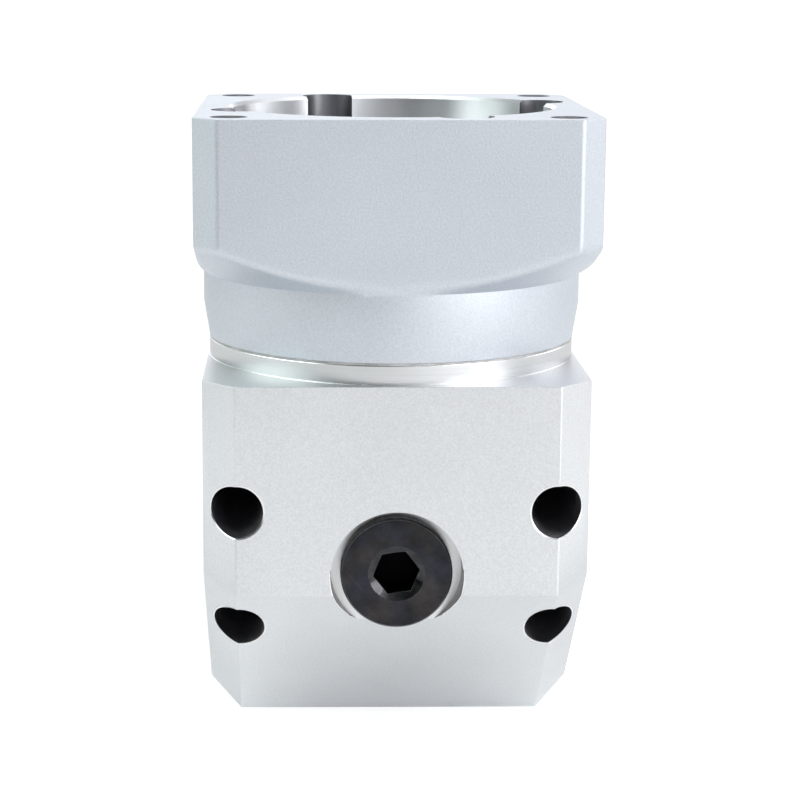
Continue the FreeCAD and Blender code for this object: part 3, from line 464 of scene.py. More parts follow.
class Nodes:
    """A node tree and a few short ways to add to it."""

    def __init__(self, tree):
        self.tree = tree

    def add(self, kind, **inputs):
        """Node whose inputs are set by name, with _ for a blank."""
        node = self.tree.nodes.new(kind)
        for name, given in inputs.items():
            self.feed(node.inputs[name.replace("_", " ")], given)
        return node

    def feed(self, socket, given):
        """Link a signal to a socket, or set its value."""
        if isinstance(given, bpy.types.NodeSocket):
            self.tree.links.new(given, socket)
        else:
            socket.default_value = given

    def maths(self, operation, first, second=0.0):
        """Signal from two signals or numbers."""
        node = self.tree.nodes.new("ShaderNodeMath")
        node.operation = operation
        self.feed(node.inputs[0], first)
        self.feed(node.inputs[1], second)
        return node.outputs[0]

    def vector(self, operation, first, second):
        """Signal from a vector or colour and a second one, or a scale."""
        node = self.tree.nodes.new("ShaderNodeVectorMath")
        node.operation = operation
        self.feed(node.inputs[0], first)
        self.feed(node.inputs["Scale" if operation == "SCALE" else 1], second)
        return node.outputs["Value" if operation == "DISTANCE" else "Vector"]

    def ramp(self, source, stops, interpolation="LINEAR"):
        """Colours at places along a signal, from (place, colour) stops."""
        node = self.add("ShaderNodeValToRGB", Fac=source)
        node.color_ramp.interpolation = interpolation
        elements = node.color_ramp.elements
        while len(elements) < len(stops):
            elements.new(0.5)
        for element, (place, colour) in zip(elements, stops):
            element.position = place
            element.color = (*colour, 1)
        return node.outputs[0]


class Shader(Nodes):
    """A material with a Principled surface."""

    def __init__(self, name, colour, metal, rough):
        self.material = bpy.data.materials.new(name)
        self.material.use_nodes = True
        super().__init__(self.material.node_tree)
        self.place = self.add("ShaderNodeTexCoord").outputs["Object"]
        self.set("Base Color", (*colour, 1.0))
        self.set("Metallic", metal)
        self.set("Roughness", rough)

    def set(self, name, given):
        """Link or set an input of the surface."""
        self.feed(self.tree.nodes["Principled BSDF"].inputs[name], given)

    def noise(self, size, where=None, detail=2.0, stretch=(1, 1, 1)):
        """Noise whose grains are about that many millimetres wide."""
        mapping = self.add("ShaderNodeMapping", Vector=where or self.place)
        mapping.inputs["Scale"].default_value = [factor / (size * MM) for factor in stretch]
        node = self.add("ShaderNodeTexNoise", Vector=mapping.outputs[0], Scale=1.0, Detail=detail)
        return node.outputs["Fac"]

    def spread(self, source, low, high, start=0.25, end=0.75):
        """Stretch the middle of a 0 to 1 signal to a range."""
        node = self.add("ShaderNodeMapRange", Value=source, From_Min=start, From_Max=end,
                        To_Min=low, To_Max=high)
        return node.outputs[0]

    def tint(self, colour, shade):
        """Base colour scaled by a signal."""
        self.set("Base Color", self.vector("SCALE", colour, shade))

    def bump(self, height, depth, strength=1.0):
        """Relief that is about that many millimetres deep."""
        node = self.add("ShaderNodeBump", Height=height, Distance=depth * MM, Strength=strength)
        self.set("Normal", node.outputs[0])

    def turning(self, axis, pitch):
        """Fine grooves of a lathe tool round an axis; the signal follows radius and height."""
        parts = self.add("ShaderNodeSeparateXYZ", Vector=self.vector("SUBTRACT", self.place, CROSSING))
        across = [parts.outputs[way] for way in (X, Y, Z) if way != axis]
        squares = [self.maths("MULTIPLY", way, way) for way in across]
        radius = self.maths("SQRT", self.maths("ADD", *squares))
        flat = self.add("ShaderNodeCombineXYZ", X=radius, Y=parts.outputs[axis])
        return self.noise(pitch, flat.outputs[0], detail=3.0)


def blasted(name, colour, rough, grain, sparkle):
    """Bead-blasted aluminium: matte, with a fine sparkle."""
    shader = Shader(name, colour, 1.0, rough)
    fine = shader.noise(size=grain, detail=3.0)
    cloud = shader.noise(size=14.0, detail=1.0)
    shade = shader.maths("MULTIPLY", shader.spread(fine, low=1 - sparkle, high=1 + sparkle),
                         shader.spread(cloud, low=0.98, high=1.02))
    shader.tint(colour, shade)
    shader.set("Roughness", shader.spread(fine, low=rough - 0.06, high=rough + 0.08))
    shader.bump(fine, depth=grain * 0.12, strength=0.6)
    return shader.material


def turned(name, colour, rough, axis, pitch=0.18, relief=0.004):
    """Turned metal with fine grooves round an axis."""
    shader = Shader(name, colour, 1.0, rough)
    grooves = shader.turning(axis, pitch)
    shader.tint(colour, shader.spread(grooves, low=0.94, high=1.04))
    shader.set("Roughness", shader.spread(grooves, low=rough - 0.05, high=rough + 0.07))
    shader.bump(grooves, depth=relief, strength=0.7)
    return shader.material


def bored(name, colour, rough):
    """Finely bored metal: sharp reflections round the bore, drawn out along its axis."""
    shader = Shader(name, colour, 1.0, rough)
    shader.tint(colour, shader.spread(shader.turning(Z, pitch=0.2), low=0.97, high=1.02))
    shader.set("Anisotropic", 0.9)
    shader.set("Anisotropic Rotation", 0.25)
    tangent = shader.add("ShaderNodeTangent")
    tangent.direction_type = "RADIAL"
    tangent.axis = "Z"
    shader.set("Tangent", tangent.outputs[0])
    return shader.material


def oxide(name, colour, stain, rough):
    """Black oxide on steel: cloudy, with brownish stains and fine slanted scratches."""
    shader = Shader(name, colour, 0.7, rough)
    fine = shader.noise(size=0.25, detail=4.0)
    cloud = shader.noise(size=3.4, detail=5.0)
    stains = shader.spread(shader.noise(size=5.0, detail=3.0), low=0.0, high=1.0, start=0.4, end=0.65)
    slanted = shader.add("ShaderNodeMapping", Vector=shader.place, Rotation=(0, math.radians(40), 0))
    streaks = shader.noise(size=0.35, where=slanted.outputs[0], detail=1.0, stretch=(1, 1, 0.05))
    scratches = shader.spread(streaks, low=0.0, high=0.3, start=0.70, end=0.78)
    shade = shader.maths("MULTIPLY", shader.spread(fine, low=0.85, high=1.15),
                         shader.spread(cloud, low=0.5, high=1.5))
    shader.tint(shader.ramp(stains, [(0.0, colour), (1.0, stain)]), shader.maths("ADD", shade, scratches))
    shader.set("Roughness", shader.spread(cloud, low=rough + 0.1, high=rough - 0.1))
    shader.bump(fine, depth=0.01, strength=0.5)
    return shader.material


def coated(name, colour, metal, rough, grain, uneven=0.12, relief=0.01):
    """A coated, moulded or sintered surface with cloudy tone and fine grain."""
    shader = Shader(name, colour, metal, rough)
    fine = shader.noise(size=grain, detail=4.0)
    cloud = shader.noise(size=grain * 14, detail=3.0)
    shade = shader.maths("MULTIPLY", shader.spread(fine, low=1 - uneven / 2, high=1 + uneven / 2),
                         shader.spread(cloud, low=1 - uneven, high=1 + uneven))
    shader.tint(colour, shade)
    shader.set("Roughness", shader.spread(cloud, low=rough - 0.07, high=rough + 0.07))
    shader.bump(fine, depth=relief, strength=0.5)
    return shader.material


# Materials; grains, pitches and reliefs are in millimetres

flange_metal = blasted("blasted_aluminium", (0.66, 0.69, 0.74), rough=0.50, grain=0.30, sparkle=0.10)
elbow_metal = blasted("anodised_aluminium", (0.75, 0.76, 0.78), rough=0.42, grain=0.26, sparkle=0.09)
output_metal = turned("output_aluminium", (0.75, 0.76, 0.78), rough=0.36, axis=Y)
boss_metal = turned("boss_aluminium", (0.74, 0.75, 0.76), rough=0.29, axis=Z, pitch=0.2, relief=0.002)
boss_output = turned("boss_output_aluminium", (0.74, 0.75, 0.76), rough=0.29, axis=Y,
                     pitch=0.2, relief=0.002)
spotface_metal = turned("spotface_aluminium", (0.80, 0.80, 0.81), rough=0.34, axis=Y,
                        pitch=0.25, relief=0.008)
# Painted shade: the spotface's wall is darker than its floor, for the shade in the recess.
spotface_wall_painted_shade = turned("spotface_wall_painted_shade_aluminium", (0.46, 0.46, 0.46), rough=0.36, axis=Y,
                       pitch=0.25, relief=0.008)
# Bare cut edges, lighter than the faces round them; the lighter colour is also a painted highlight on rims
# and round the boss.
cut_metal_and_highlight = coated("cut_aluminium_and_painted_highlight", (0.90, 0.90, 0.91), metal=1.0, rough=0.22, grain=0.2, uneven=0.08)
bored_metal = bored("bored_aluminium", (0.82, 0.83, 0.85), rough=0.32)
# Painted shade: counterbores cut into the flange's bore are darker than the bore.
counterbore_painted_shade = coated("milled_aluminium_painted_shade", (0.28, 0.28, 0.30), metal=1.0, rough=0.34, grain=0.5)
# Painted shade: walls of holes and counterbores are darker than the faces round them.
hole_wall_painted_shade = coated("drilled_aluminium_painted_shade", (0.50, 0.50, 0.53), metal=1.0, rough=0.42, grain=0.3)
# Painted shade: tapped holes are much darker than the flange round them.
tapped_hole_painted_shade = coated("tapped_aluminium_painted_shade", (0.14, 0.14, 0.15), metal=1.0, rough=0.45, grain=0.2,
                      uneven=0.5, relief=0.02)
ring_metal = turned("ring_steel", (0.56, 0.57, 0.59), rough=0.30, axis=Y, pitch=0.25)
input_steel = turned("input_steel", (0.52, 0.53, 0.55), rough=0.25, axis=Z)
output_steel = turned("output_steel", (0.60, 0.61, 0.63), rough=0.20, axis=Y, pitch=0.12, relief=0.002)
gear_steel = coated("gear_steel", (0.45, 0.46, 0.48), metal=1.0, rough=0.32, grain=0.3)
bearing_steel = coated("bearing_steel", (0.66, 0.67, 0.69), metal=1.0, rough=0.18, grain=0.4,
                       uneven=0.05, relief=0.003)
black_steel = oxide("black_oxide", (0.025, 0.026, 0.035), stain=(0.038, 0.034, 0.034), rough=0.42)
worn_steel = coated("worn_oxide", (0.055, 0.055, 0.058), metal=1.0, rough=0.14, grain=0.12,
                    uneven=0.40, relief=0.003)
# Painted highlight: the plug's collar rim is lighter than its face.
rim_painted_highlight = coated("rim_oxide_painted_highlight", (0.13, 0.13, 0.135), metal=1.0, rough=0.26, grain=0.6,
                   uneven=0.5, relief=0.003)
# Painted shade: the hexagon socket is nearly black inside.
socket_painted_shade = coated("socket_oxide_painted_shade", (0.004, 0.004, 0.005), metal=1.0, rough=0.60, grain=0.3,
                      uneven=0.5, relief=0.02)
spring_steel = coated("spring_steel", (0.16, 0.16, 0.17), metal=1.0, rough=0.40, grain=0.3)
bronze = coated("sintered_bronze", (0.55, 0.38, 0.20), metal=1.0, rough=0.42, grain=0.2, uneven=0.2)
rubber = coated("seal_rubber", (0.022, 0.022, 0.024), metal=0.0, rough=0.62, grain=0.2, uneven=0.2)
gasket = coated("graphite_gasket", (0.54, 0.54, 0.545), metal=0.7, rough=0.42, grain=0.15, uneven=0.3)
plastic = coated("soft_plastic", (0.025, 0.025, 0.028), metal=0.0, rough=0.48, grain=0.3, uneven=0.15)


# Places of the holes, and where a face or an edge lies

def square(half):
    """Corners of a square round an axis."""
    return [(x * half, y * half) for x in (1, -1) for y in (1, -1)]


def around(circle, start, count=4):
    """Equal steps round a circle from an angle in degrees."""
    angles = [math.radians(start + 360 / count * step) for step in range(count)]
    return [(circle * math.cos(a), circle * math.sin(a)) for a in angles]


ELBOW_SCREWS = [(x * ELBOW_SCREW_CIRCLE * math.cos(math.radians(SCREW_ANGLE)),
                 z * ELBOW_SCREW_CIRCLE * math.sin(math.radians(SCREW_ANGLE)))
                for x in (1, -1) for z in (1, -1)]
FLANGE_SCREWS = around(FLANGE_SCREW_CIRCLE, SCREW_ANGLE)
OUTPUT_SCREWS = around(OUTPUT_SCREW_CIRCLE, 0)
OUTPUT_BOLTS = around(OUTPUT_BOLT_CIRCLE, OUTPUT_BOLT_ANGLE)
MOTOR_BOLTS = square(MOTOR_BOLT)


def inside(corners, across, up, x, y, radius):
    """Whether all corners lie within a round hole, seen along the axis that is neither across nor up."""
    return all(math.hypot(corner[across] - x, corner[up] - y) < radius + TIGHT for corner in corners)


def extent(corners, axis):
    """Lowest and highest place of corners along an axis."""
    places = [corner[axis] for corner in corners]
    return min(places), max(places)


# Casing

def elbow_shape():
    """Milled block with a slanted front edge, chamfered sides, a turned boss on each seat, and its holes."""
    side = [(-BLOCK_REACH, SEAT), (-BLOCK_REACH, -SLANT), (-SLANT, -BLOCK_REACH),
            (SEAT, -BLOCK_REACH), (SEAT, SEAT)]
    block = placed(prism(side, -BLOCK_HALF, BLOCK_HALF), FROM_SIDE)
    outline = [edge for edge in block.edges
               if abs(middle(edge).x) > BLOCK_HALF - TINY and max(middle(edge).yz) < SEAT - TINY]
    bmesh.ops.bevel(block, geom=outline, offset=BLOCK_CHAMFER, segments=1, affect="EDGES")
    for turn in (ALONG_INPUT, ALONG_OUTPUT):
        block = combine(block, placed(pin(BOSS_RADIUS, 0, BOSS_TOP, FINE), turn), "UNION")
    bore = [(0, CHAMBER_END), (CHAMBER_RADIUS, CHAMBER_END), (CHAMBER_RADIUS, BEARING_START),
            (BEARING_RADIUS, BEARING_START), (BEARING_RADIUS, BOSS_TOP + OVERRUN), (0, BOSS_TOP + OVERRUN)]
    for turn in (ALONG_INPUT, ALONG_OUTPUT):
        block = combine(block, placed(lathe(bore), turn))
    block = carve(block, placed(pin(SPOTFACE_RADIUS, SPOTFACE_FLOOR, BLOCK_REACH + OVERRUN, ROUND), TO_FRONT),
                  placed(pin(PLUG_THREAD, -CHAMBER_END - OVERRUN, BLOCK_REACH), TO_FRONT))
    for x, z in ELBOW_SCREWS:
        block = counterbored(block, ELBOW_COUNTERBORE, -BOSS_TOP, -ELBOW_SCREW_SEAT, BLOCK_REACH,
                             TO_FRONT, x=x, z=z)
    for x, y in FLANGE_SCREWS:
        block = carve(block, placed(pin(SCREW_RADIUS, FLANGE_TAP_END, BOSS_TOP + OVERRUN), x=x, y=y))
    return block


def elbow():
    """Elbow block with broken hole rims, and with bright edges round the boss of the input; these rims and
    edges are bare cut metal in a lighter colour, which is partly a painted highlight.
    """
    block = elbow_shape()
    for spots, radius, width, back, top in (
            (ELBOW_SCREWS, ELBOW_COUNTERBORE, RIM_EDGE, 0.0, BLOCK_REACH),
            ([(0, 0)], SPOTFACE_RADIUS, SPOTFACE_EDGE, -SPOTFACE_EDGE_BACK, SPOTFACE_EDGE_TOP)):
        rims = [edge for edge in block.edges
                if is_outer(edge, RIM_ANGLE)
                and max(corner.co.y for corner in edge.verts) < back
                and max(corner.co.z for corner in edge.verts) < top
                and any(inside([corner.co for corner in edge.verts], X, Z, x, z, radius) for x, z in spots)]
        break_edges(block, rims, width)
    for height, width in ((BOSS_TOP, BOSS_EDGE), (SEAT, BOSS_FILLET)):
        circle = [edge for edge in block.edges
                  if all(abs(corner.co.z - height) < TIGHT and corner.co.y < BEARING_RADIUS
                         and abs(math.hypot(corner.co.x, corner.co.y) - BOSS_RADIUS) < TIGHT
                         for corner in edge.verts)]
        break_edges(block, circle, width)

    def on_boss_edge(corners):
        """Whether corners lie on the broken edge at the top of the boss or on the fillet at its root."""
        low, high = extent(corners, Z)
        nearest = min(math.hypot(corner.x, corner.y) for corner in corners)
        top = low > BOSS_TOP - BOSS_EDGE - TIGHT and nearest > BOSS_RADIUS - BOSS_EDGE - TIGHT
        root = SEAT + TINY < high < SEAT + BOSS_FILLET + TIGHT
        return top or root and abs(nearest - BOSS_RADIUS) < BOSS_FILLET + TIGHT

    def sort(corners):
        # The boss's top edge and its root fillet take the lighter cut colour, partly a painted highlight.
        if on_boss_edge(corners):
            return cut_metal_and_highlight
        if extent(corners, Z)[1] > SEAT + TIGHT:
            return boss_metal
        front, back = extent(corners, Y)
        if back > SEAT + TIGHT:
            return boss_output
        for x, z in ELBOW_SCREWS:
            if inside(corners, X, Z, x, z, ELBOW_COUNTERBORE + RIM_EDGE):
                # Hole wall darker as painted shade; its rim lighter, bare cut metal and partly a painted
                # highlight.
                return hole_wall_painted_shade if inside(corners, X, Z, x, z, ELBOW_COUNTERBORE) else cut_metal_and_highlight
        if not inside(corners, X, Z, 0, 0, SPOTFACE_RADIUS + SPOTFACE_EDGE):
            return elbow_metal
        if not inside(corners, X, Z, 0, 0, SPOTFACE_RADIUS):
            return cut_metal_and_highlight
        # Painted shade: the spotface's wall is darker than its floor.
        return spotface_metal if back - front < TIGHT else spotface_wall_painted_shade

    def widths(centre, ends):
        if on_boss_edge(ends) or inside(ends, X, Z, 0, 0, SPOTFACE_RADIUS + SPOTFACE_EDGE):
            return 0.0
        if any(inside(ends, X, Z, x, z, ELBOW_COUNTERBORE + RIM_EDGE) for x, z in ELBOW_SCREWS):
            return 0.0
        return FINE_EDGE if max(centre.y, centre.z) > SEAT - TIGHT else EDGE

    piece(block, "elbow_casting", "housing", ["elbow_housing"],
          [elbow_metal, boss_metal, boss_output, hole_wall_painted_shade, cut_metal_and_highlight, spotface_metal, spotface_wall_painted_shade],
          sort, widths, sharp=35)


def square_reach(turn):
    """Distance from the axis to the side of the flange's square with cut corners."""
    across, along = abs(math.cos(turn)), abs(math.sin(turn))
    return min(FLANGE_HALF / max(across, along), (2 * FLANGE_HALF - FLANGE_CORNER) / (across + along))


def flange_turns():
    """Even steps round the flange, with the nearest ones moved to the square's eight corners."""
    turns = even(FINE)
    lean = math.atan2(FLANGE_HALF - FLANGE_CORNER, FLANGE_HALF)
    for quarter in range(4):
        for corner in (lean, math.pi / 2 - lean):
            exact = corner + quarter * math.pi / 2
            turns[round(exact / (2 * math.pi / FINE))] = exact
    return turns


def cone_edge(share):
    """Soft edge from the coned back, at 0, to the flange's side, at 1; it fades where the cone is narrow."""
    def corner(turn):
        reach = square_reach(turn)
        out = reach - SKIRT_RADIUS
        rise = ((out * CONE_SLOPE) ** CONE_BLEND + CONE_FADE ** CONE_BLEND) ** (1 / CONE_BLEND)
        back = min(CONE_EDGE / math.hypot(out, rise), CONE_SHARE) * max(1 - share, 0) ** 2
        return reach - back * out, FLANGE_FOOT + SKIRT_HEIGHT + (1 - back) * rise + CONE_EDGE * share ** 2
    return corner


def flange():
    """Turned cup with a coned back, milled to a square with cut corners."""
    skirt_top = FLANGE_FOOT + SKIRT_HEIGHT
    floor = FLANGE_FOOT + FLANGE_FLOOR
    cup = lathe([(SEAL_RADIUS, FLANGE_FOOT), (SKIRT_FOOT, FLANGE_FOOT),
                 (SKIRT_RADIUS, FLANGE_FOOT + SKIRT_TAPER), (SKIRT_RADIUS, skirt_top - CONE_ROOT),
                 (SKIRT_RADIUS, skirt_top), *[cone_edge(step / CONE_STEPS) for step in range(CONE_STEPS + 2)],
                 lambda turn: (square_reach(turn), FLANGE_TOP),
                 (PILOT_RADIUS + PILOT_LEAD, FLANGE_TOP), (PILOT_RADIUS, FLANGE_TOP - PILOT_LEAD),
                 (PILOT_RADIUS, FLANGE_TOP - PILOT_DEPTH), (CAVITY_RADIUS, FLANGE_TOP - PILOT_DEPTH),
                 (CAVITY_RADIUS, floor), (PASSAGE_RADIUS, floor),
                 (PASSAGE_RADIUS, FLANGE_FOOT + SEAL_BORE), (SEAL_RADIUS, FLANGE_FOOT + SEAL_BORE)],
                turns=flange_turns())
    for x, y in FLANGE_SCREWS:
        cup = counterbored(cup, FLANGE_COUNTERBORE, FLANGE_FOOT, FLANGE_SCREW_SEAT, FLANGE_TOP, x=x, y=y)
    for x, y in MOTOR_BOLTS:
        cup = carve(cup, placed(thread(THREAD_RADIUS, FLANGE_TOP - MOTOR_BOLT_DEPTH, FLANGE_TOP), x=x, y=y))
    access = {"y": -CLAMP_OFFSET, "z": CLAMP_HEIGHT}
    for radius, start in ((ACCESS_RADIUS, 0), (ACCESS_HEAD, FLANGE_HALF - ACCESS_HEAD_HEIGHT)):
        cup = carve(cup, placed(pin(radius, start, FLANGE_HALF + OVERRUN, MEDIUM), TO_SIDE, **access))

    def sort(corners):
        if extent(corners, Z)[0] > FLANGE_SCREW_SEAT - TIGHT:
            # Tapped holes take a darker colour as painted shade.
            if any(inside(corners, X, Y, x, y, THREAD_RADIUS + EDGE) for x, y in MOTOR_BOLTS):
                return tapped_hole_painted_shade
            # Counterbores take a darker colour as painted shade.
            if any(inside(corners, X, Y, x, y, FLANGE_COUNTERBORE) for x, y in FLANGE_SCREWS):
                return counterbore_painted_shade
        return bored_metal if inside(corners, X, Y, 0, 0, PILOT_RADIUS + PILOT_LEAD) else flange_metal

    def widths(centre, ends):
        if centre.z < FLANGE_FOOT + TIGHT:
            return FINE_EDGE
        if math.hypot(centre.x, centre.y) < FLANGE_HALF - TIGHT:
            return 0.0
        if inside(ends, Y, Z, access["y"], access["z"], ACCESS_HEAD):
            return 0.0
        if centre.z > FLANGE_TOP - TIGHT:
            return FLANGE_TOP_EDGE
        return SOFT_EDGE if abs(ends[0].z - ends[1].z) > TIGHT else 0.0

    piece(cup, "motor_flange", "housing", ["input_flange"],
          [flange_metal, bored_metal, tapped_hole_painted_shade, counterbore_painted_shade], sort, widths)


def screw_plug():
    """Collared plug with a countersunk hexagon socket."""
    end = SPOTFACE_FLOOR - PLUG_LENGTH
    foot = SPOTFACE_FLOOR + PLUG_SEAL
    face = foot + PLUG_COLLAR
    across = PLUG_HEX / 2
    sink = face - (PLUG_SINK - across) * PLUG_SINK_SLOPE
    plug = lathe([(0, end), (PLUG_THREAD - PLUG_LEAD, end), (PLUG_THREAD, end + PLUG_LEAD),
                  (PLUG_THREAD, foot), (PLUG_RADIUS, foot), (PLUG_RADIUS, face - PLUG_EDGE),
                  (PLUG_RADIUS - PLUG_EDGE, face), (PLUG_SINK, face), (across, sink), (0, sink)], FINE)
    plug = combine(plug, prism(hexagon(PLUG_HEX, PLUG_TURN), face - PLUG_HEX_DEPTH, face + OVERRUN))

    def sort(corners):
        heights = [-corner.y for corner in corners]
        radii = [math.hypot(corner.x, corner.z) for corner in corners]
        # Collar rim: lighter colour as a painted highlight.
        if min(radii) > PLUG_RADIUS - PLUG_EDGE - TIGHT and max(heights) > face - TIGHT:
            return rim_painted_highlight
        if max(radii) < PLUG_SINK + TIGHT and min(heights) > sink - TIGHT:
            return worn_steel
        # Inside of the socket: nearly black as painted shade.
        return socket_painted_shade if max(radii) < PLUG_SINK and max(heights) < face - TIGHT else black_steel

    piece(placed(plug, TO_FRONT), "screw_plug_body", "housing", ["screw_plug"],
          [black_steel, worn_steel, socket_painted_shade, rim_painted_highlight], sort, lambda centre, ends: FINE_EDGE)


def cap_screw(length):
    """Socket cap screw, head up on height 0, with a knurled head."""
    turns = even(KNURL_STEPS)

    def knurl(height):
        def corner(turn):
            return SCREW_HEAD - (KNURL if round(turn / turns[1]) % 2 else 0.0), height
        return corner

    top = SCREW_HEAD_HEIGHT
    edge = SCREW_HEAD_EDGE
    plain = SCREW_HEAD - KNURL
    across = SCREW_HEX / 2
    sink = top - across * (SCREW_SINK - 1)
    screw = lathe([(0, -length), (SCREW_RADIUS - SCREW_LEAD, -length), (SCREW_RADIUS, SCREW_LEAD - length),
                   (SCREW_RADIUS, 0), (plain, 0), (plain, edge), knurl(edge), knurl(top - edge),
                   (plain, top - edge), (plain - edge, top), (across * SCREW_SINK, top), (across, sink),
                   (0, sink)], turns=turns)
    return combine(screw, prism(hexagon(SCREW_HEX), top - SCREW_HEX_DEPTH, top + OVERRUN))


def screws(name, spots, turn, length):
    """Group of equal screws, each with its head turned a little differently."""
    model = cap_screw(length)
    group = []
    for number, spot in enumerate(spots):
        group.append(placed(model.copy(), turn @ Matrix.Rotation(SCREW_TWIST * number, 4, "Z"), *spot))
    model.free()
    piece(join(group), name + "_set", "housing", [name], [black_steel])


def output_cover():
    """Turned housing with the output face, its pilot, tapped holes and counterbored screw holes."""
    start, end = housing_low.y, housing_high.y
    lip = races_low.y - OUTPUT_LIP_HEIGHT
    room = CARRIER_RADIUS + CARRIER_ROOM
    cover = lathe([(room, start), (OUTPUT_RADIUS, start), (OUTPUT_RADIUS, OUTPUT_FACE - OUTPUT_EDGE),
                   (OUTPUT_RADIUS - OUTPUT_EDGE, OUTPUT_FACE), (OUTPUT_PILOT, OUTPUT_FACE),
                   (OUTPUT_PILOT, end - PILOT_LEAD), (OUTPUT_PILOT - PILOT_LEAD, end), (OUTPUT_BORE, end),
                   (OUTPUT_BORE, clip_high.y), (OUTPUT_BORE + OUTPUT_GROOVE, clip_high.y),
                   (OUTPUT_BORE + OUTPUT_GROOVE, clip_low.y), (OUTPUT_BORE, clip_low.y),
                   (OUTPUT_BORE, races_low.y), (OUTPUT_BORE - OUTPUT_LIP, races_low.y),
                   (OUTPUT_BORE - OUTPUT_LIP, lip), (room, lip)], FINE)
    placed(cover, ALONG_OUTPUT)
    for x, z in OUTPUT_BOLTS:
        cover = carve(cover, placed(thread(THREAD_RADIUS, OUTPUT_FACE - OUTPUT_BOLT_DEPTH, OUTPUT_FACE),
                                    ALONG_OUTPUT, x=x, z=z))
    for x, z in OUTPUT_SCREWS:
        cover = counterbored(cover, OUTPUT_COUNTERBORE, start, OUTPUT_FACE - OUTPUT_SINK, OUTPUT_FACE,
                             ALONG_OUTPUT, x=x, z=z)

    def sort(corners):
        # Walls of the holes are darker as painted shade.
        if any(inside(corners, X, Z, x, z, OUTPUT_COUNTERBORE) for x, z in OUTPUT_BOLTS + OUTPUT_SCREWS):
            return hole_wall_painted_shade
        return boss_output if inside(corners, X, Z, 0, 0, OUTPUT_BORE + OUTPUT_GROOVE) else output_metal

    piece(cover, "output_cover", "housing", ["output_housing"],
          [output_metal, hole_wall_painted_shade, boss_output], sort, lambda centre, ends: FINE_EDGE, sharp=40)


def drive_shaft():
    """Output shaft in one piece with the second carrier, with a tapped centre."""
    start, end = shaft_low.y, shaft_high.y
    disc = start + CARRIER_THICKNESS
    pilot_end = housing_high.y
    groove = JOURNAL_RADIUS - JOURNAL_GROOVE
    shaft = lathe([(0, start), (CARRIER_RADIUS - CARRIER_EDGE, start), (CARRIER_RADIUS, start + CARRIER_EDGE),
                   (CARRIER_RADIUS, disc - CARRIER_EDGE), (CARRIER_RADIUS - CARRIER_EDGE, disc),
                   (SHOULDER_RADIUS, disc), (SHOULDER_RADIUS, races_low.y), (JOURNAL_RADIUS, races_low.y),
                   (JOURNAL_RADIUS, shaft_clip_low.y), (groove, shaft_clip_low.y),
                   (groove, shaft_clip_high.y), (JOURNAL_RADIUS, shaft_clip_high.y),
                   (JOURNAL_RADIUS, pilot_end - FINE_EDGE),
                   (JOURNAL_RADIUS - FINE_EDGE, pilot_end), (SHAFT_RADIUS, pilot_end),
                   (SHAFT_RADIUS, end - SHAFT_CHAMFER), (SHAFT_RADIUS - SHAFT_CHAMFER, end), (0, end)], FINE)
    placed(shaft, ALONG_OUTPUT)
    shaft = carve(shaft, placed(thread(THREAD_RADIUS, end - CENTRE_DEPTH, end), ALONG_OUTPUT))
    for x, z in around(pins_high.x - PIN_RADIUS, 0, CARRIER_PINS):
        shaft = carve(shaft, placed(pin(PIN_RADIUS, start - OVERRUN, disc + OVERRUN), ALONG_OUTPUT, x=x, z=z))
    piece(shaft, "drive_shaft", "output", ["output_shaft"], [output_steel])


def shaft_seal():
    """Radial shaft seal with a raised rim and a lip that runs on the journal."""
    start, end = seal_low.y, seal_high.y
    rim, lip = seal_high.x, JOURNAL_RADIUS + SEAL_LIP
    web, edge = SEAL_WEB, SEAL_EDGE
    seal = lathe([(lip, start + web), (lip, end - 2 * edge), (lip + edge, end - edge),
                  (lip + 3 * edge, end - edge), (lip + 5 * edge, end - 3 * edge),
                  (rim - web - edge, end - 3 * edge), (rim - web, end),
                  (rim - edge, end), (rim, end - edge), (rim, start), (rim - web, start),
                  (rim - web, end - web), (lip + web, end - web), (lip + web, start + web)], FINE)
    piece(placed(seal, ALONG_OUTPUT), "shaft_seal", "housing", ["output_oil_seal"], [rubber])


elbow()
flange()
screw_plug()
output_cover()
drive_shaft()
shaft_seal()
screws("elbow_screws", [(x, ELBOW_SCREW_SEAT, z) for x, z in ELBOW_SCREWS], TO_FRONT, ELBOW_SCREW_LENGTH)
screws("flange_screws", [(x, y, FLANGE_SCREW_SEAT) for x, y in FLANGE_SCREWS], ALONG_INPUT,
       FLANGE_SCREW_LENGTH)
screws("output_screws", [(x, OUTPUT_FACE - OUTPUT_SINK, z) for x, z in OUTPUT_SCREWS], ALONG_OUTPUT,
       OUTPUT_SCREW_LENGTH)

# Finish of the CAD nodes that stay

FINISH = {
    "ring_steel": ring_metal, "gear_steel": gear_steel, "shaft_steel": output_steel,
    "bearing_steel": bearing_steel, "black_steel": black_steel, "spring_steel": spring_steel,
    "bronze": bronze, "seal_rubber": rubber, "gasket_paper": gasket, "access_plug_plastic": plastic,
    "elbow_aluminium": elbow_metal, "flange_aluminium": flange_metal, "output_aluminium": output_metal,
}
UPRIGHT = ("input_shaft", "clamp_collar")
BROKEN_EDGES = ("input_shaft", "clamp_collar", "clamp_screw", "clamp_access_plug")
for entry in frame["record"]["subparts"]:
    thing = frame["nodes"][entry["node"]]
    thing.data.materials.clear()
    thing.data.materials.append(input_steel if entry["node"] in UPRIGHT else FINISH[entry["material_slot"]])
    thing.data.set_sharp_from_angle(angle=math.radians(SMOOTH_ANGLE))
    if entry["node"] in BROKEN_EDGES:
        soften(thing, FINE_EDGE, "ANGLE").angle_limit = math.radians(BREAK_ANGLE)


# Stage, light and camera, in metres

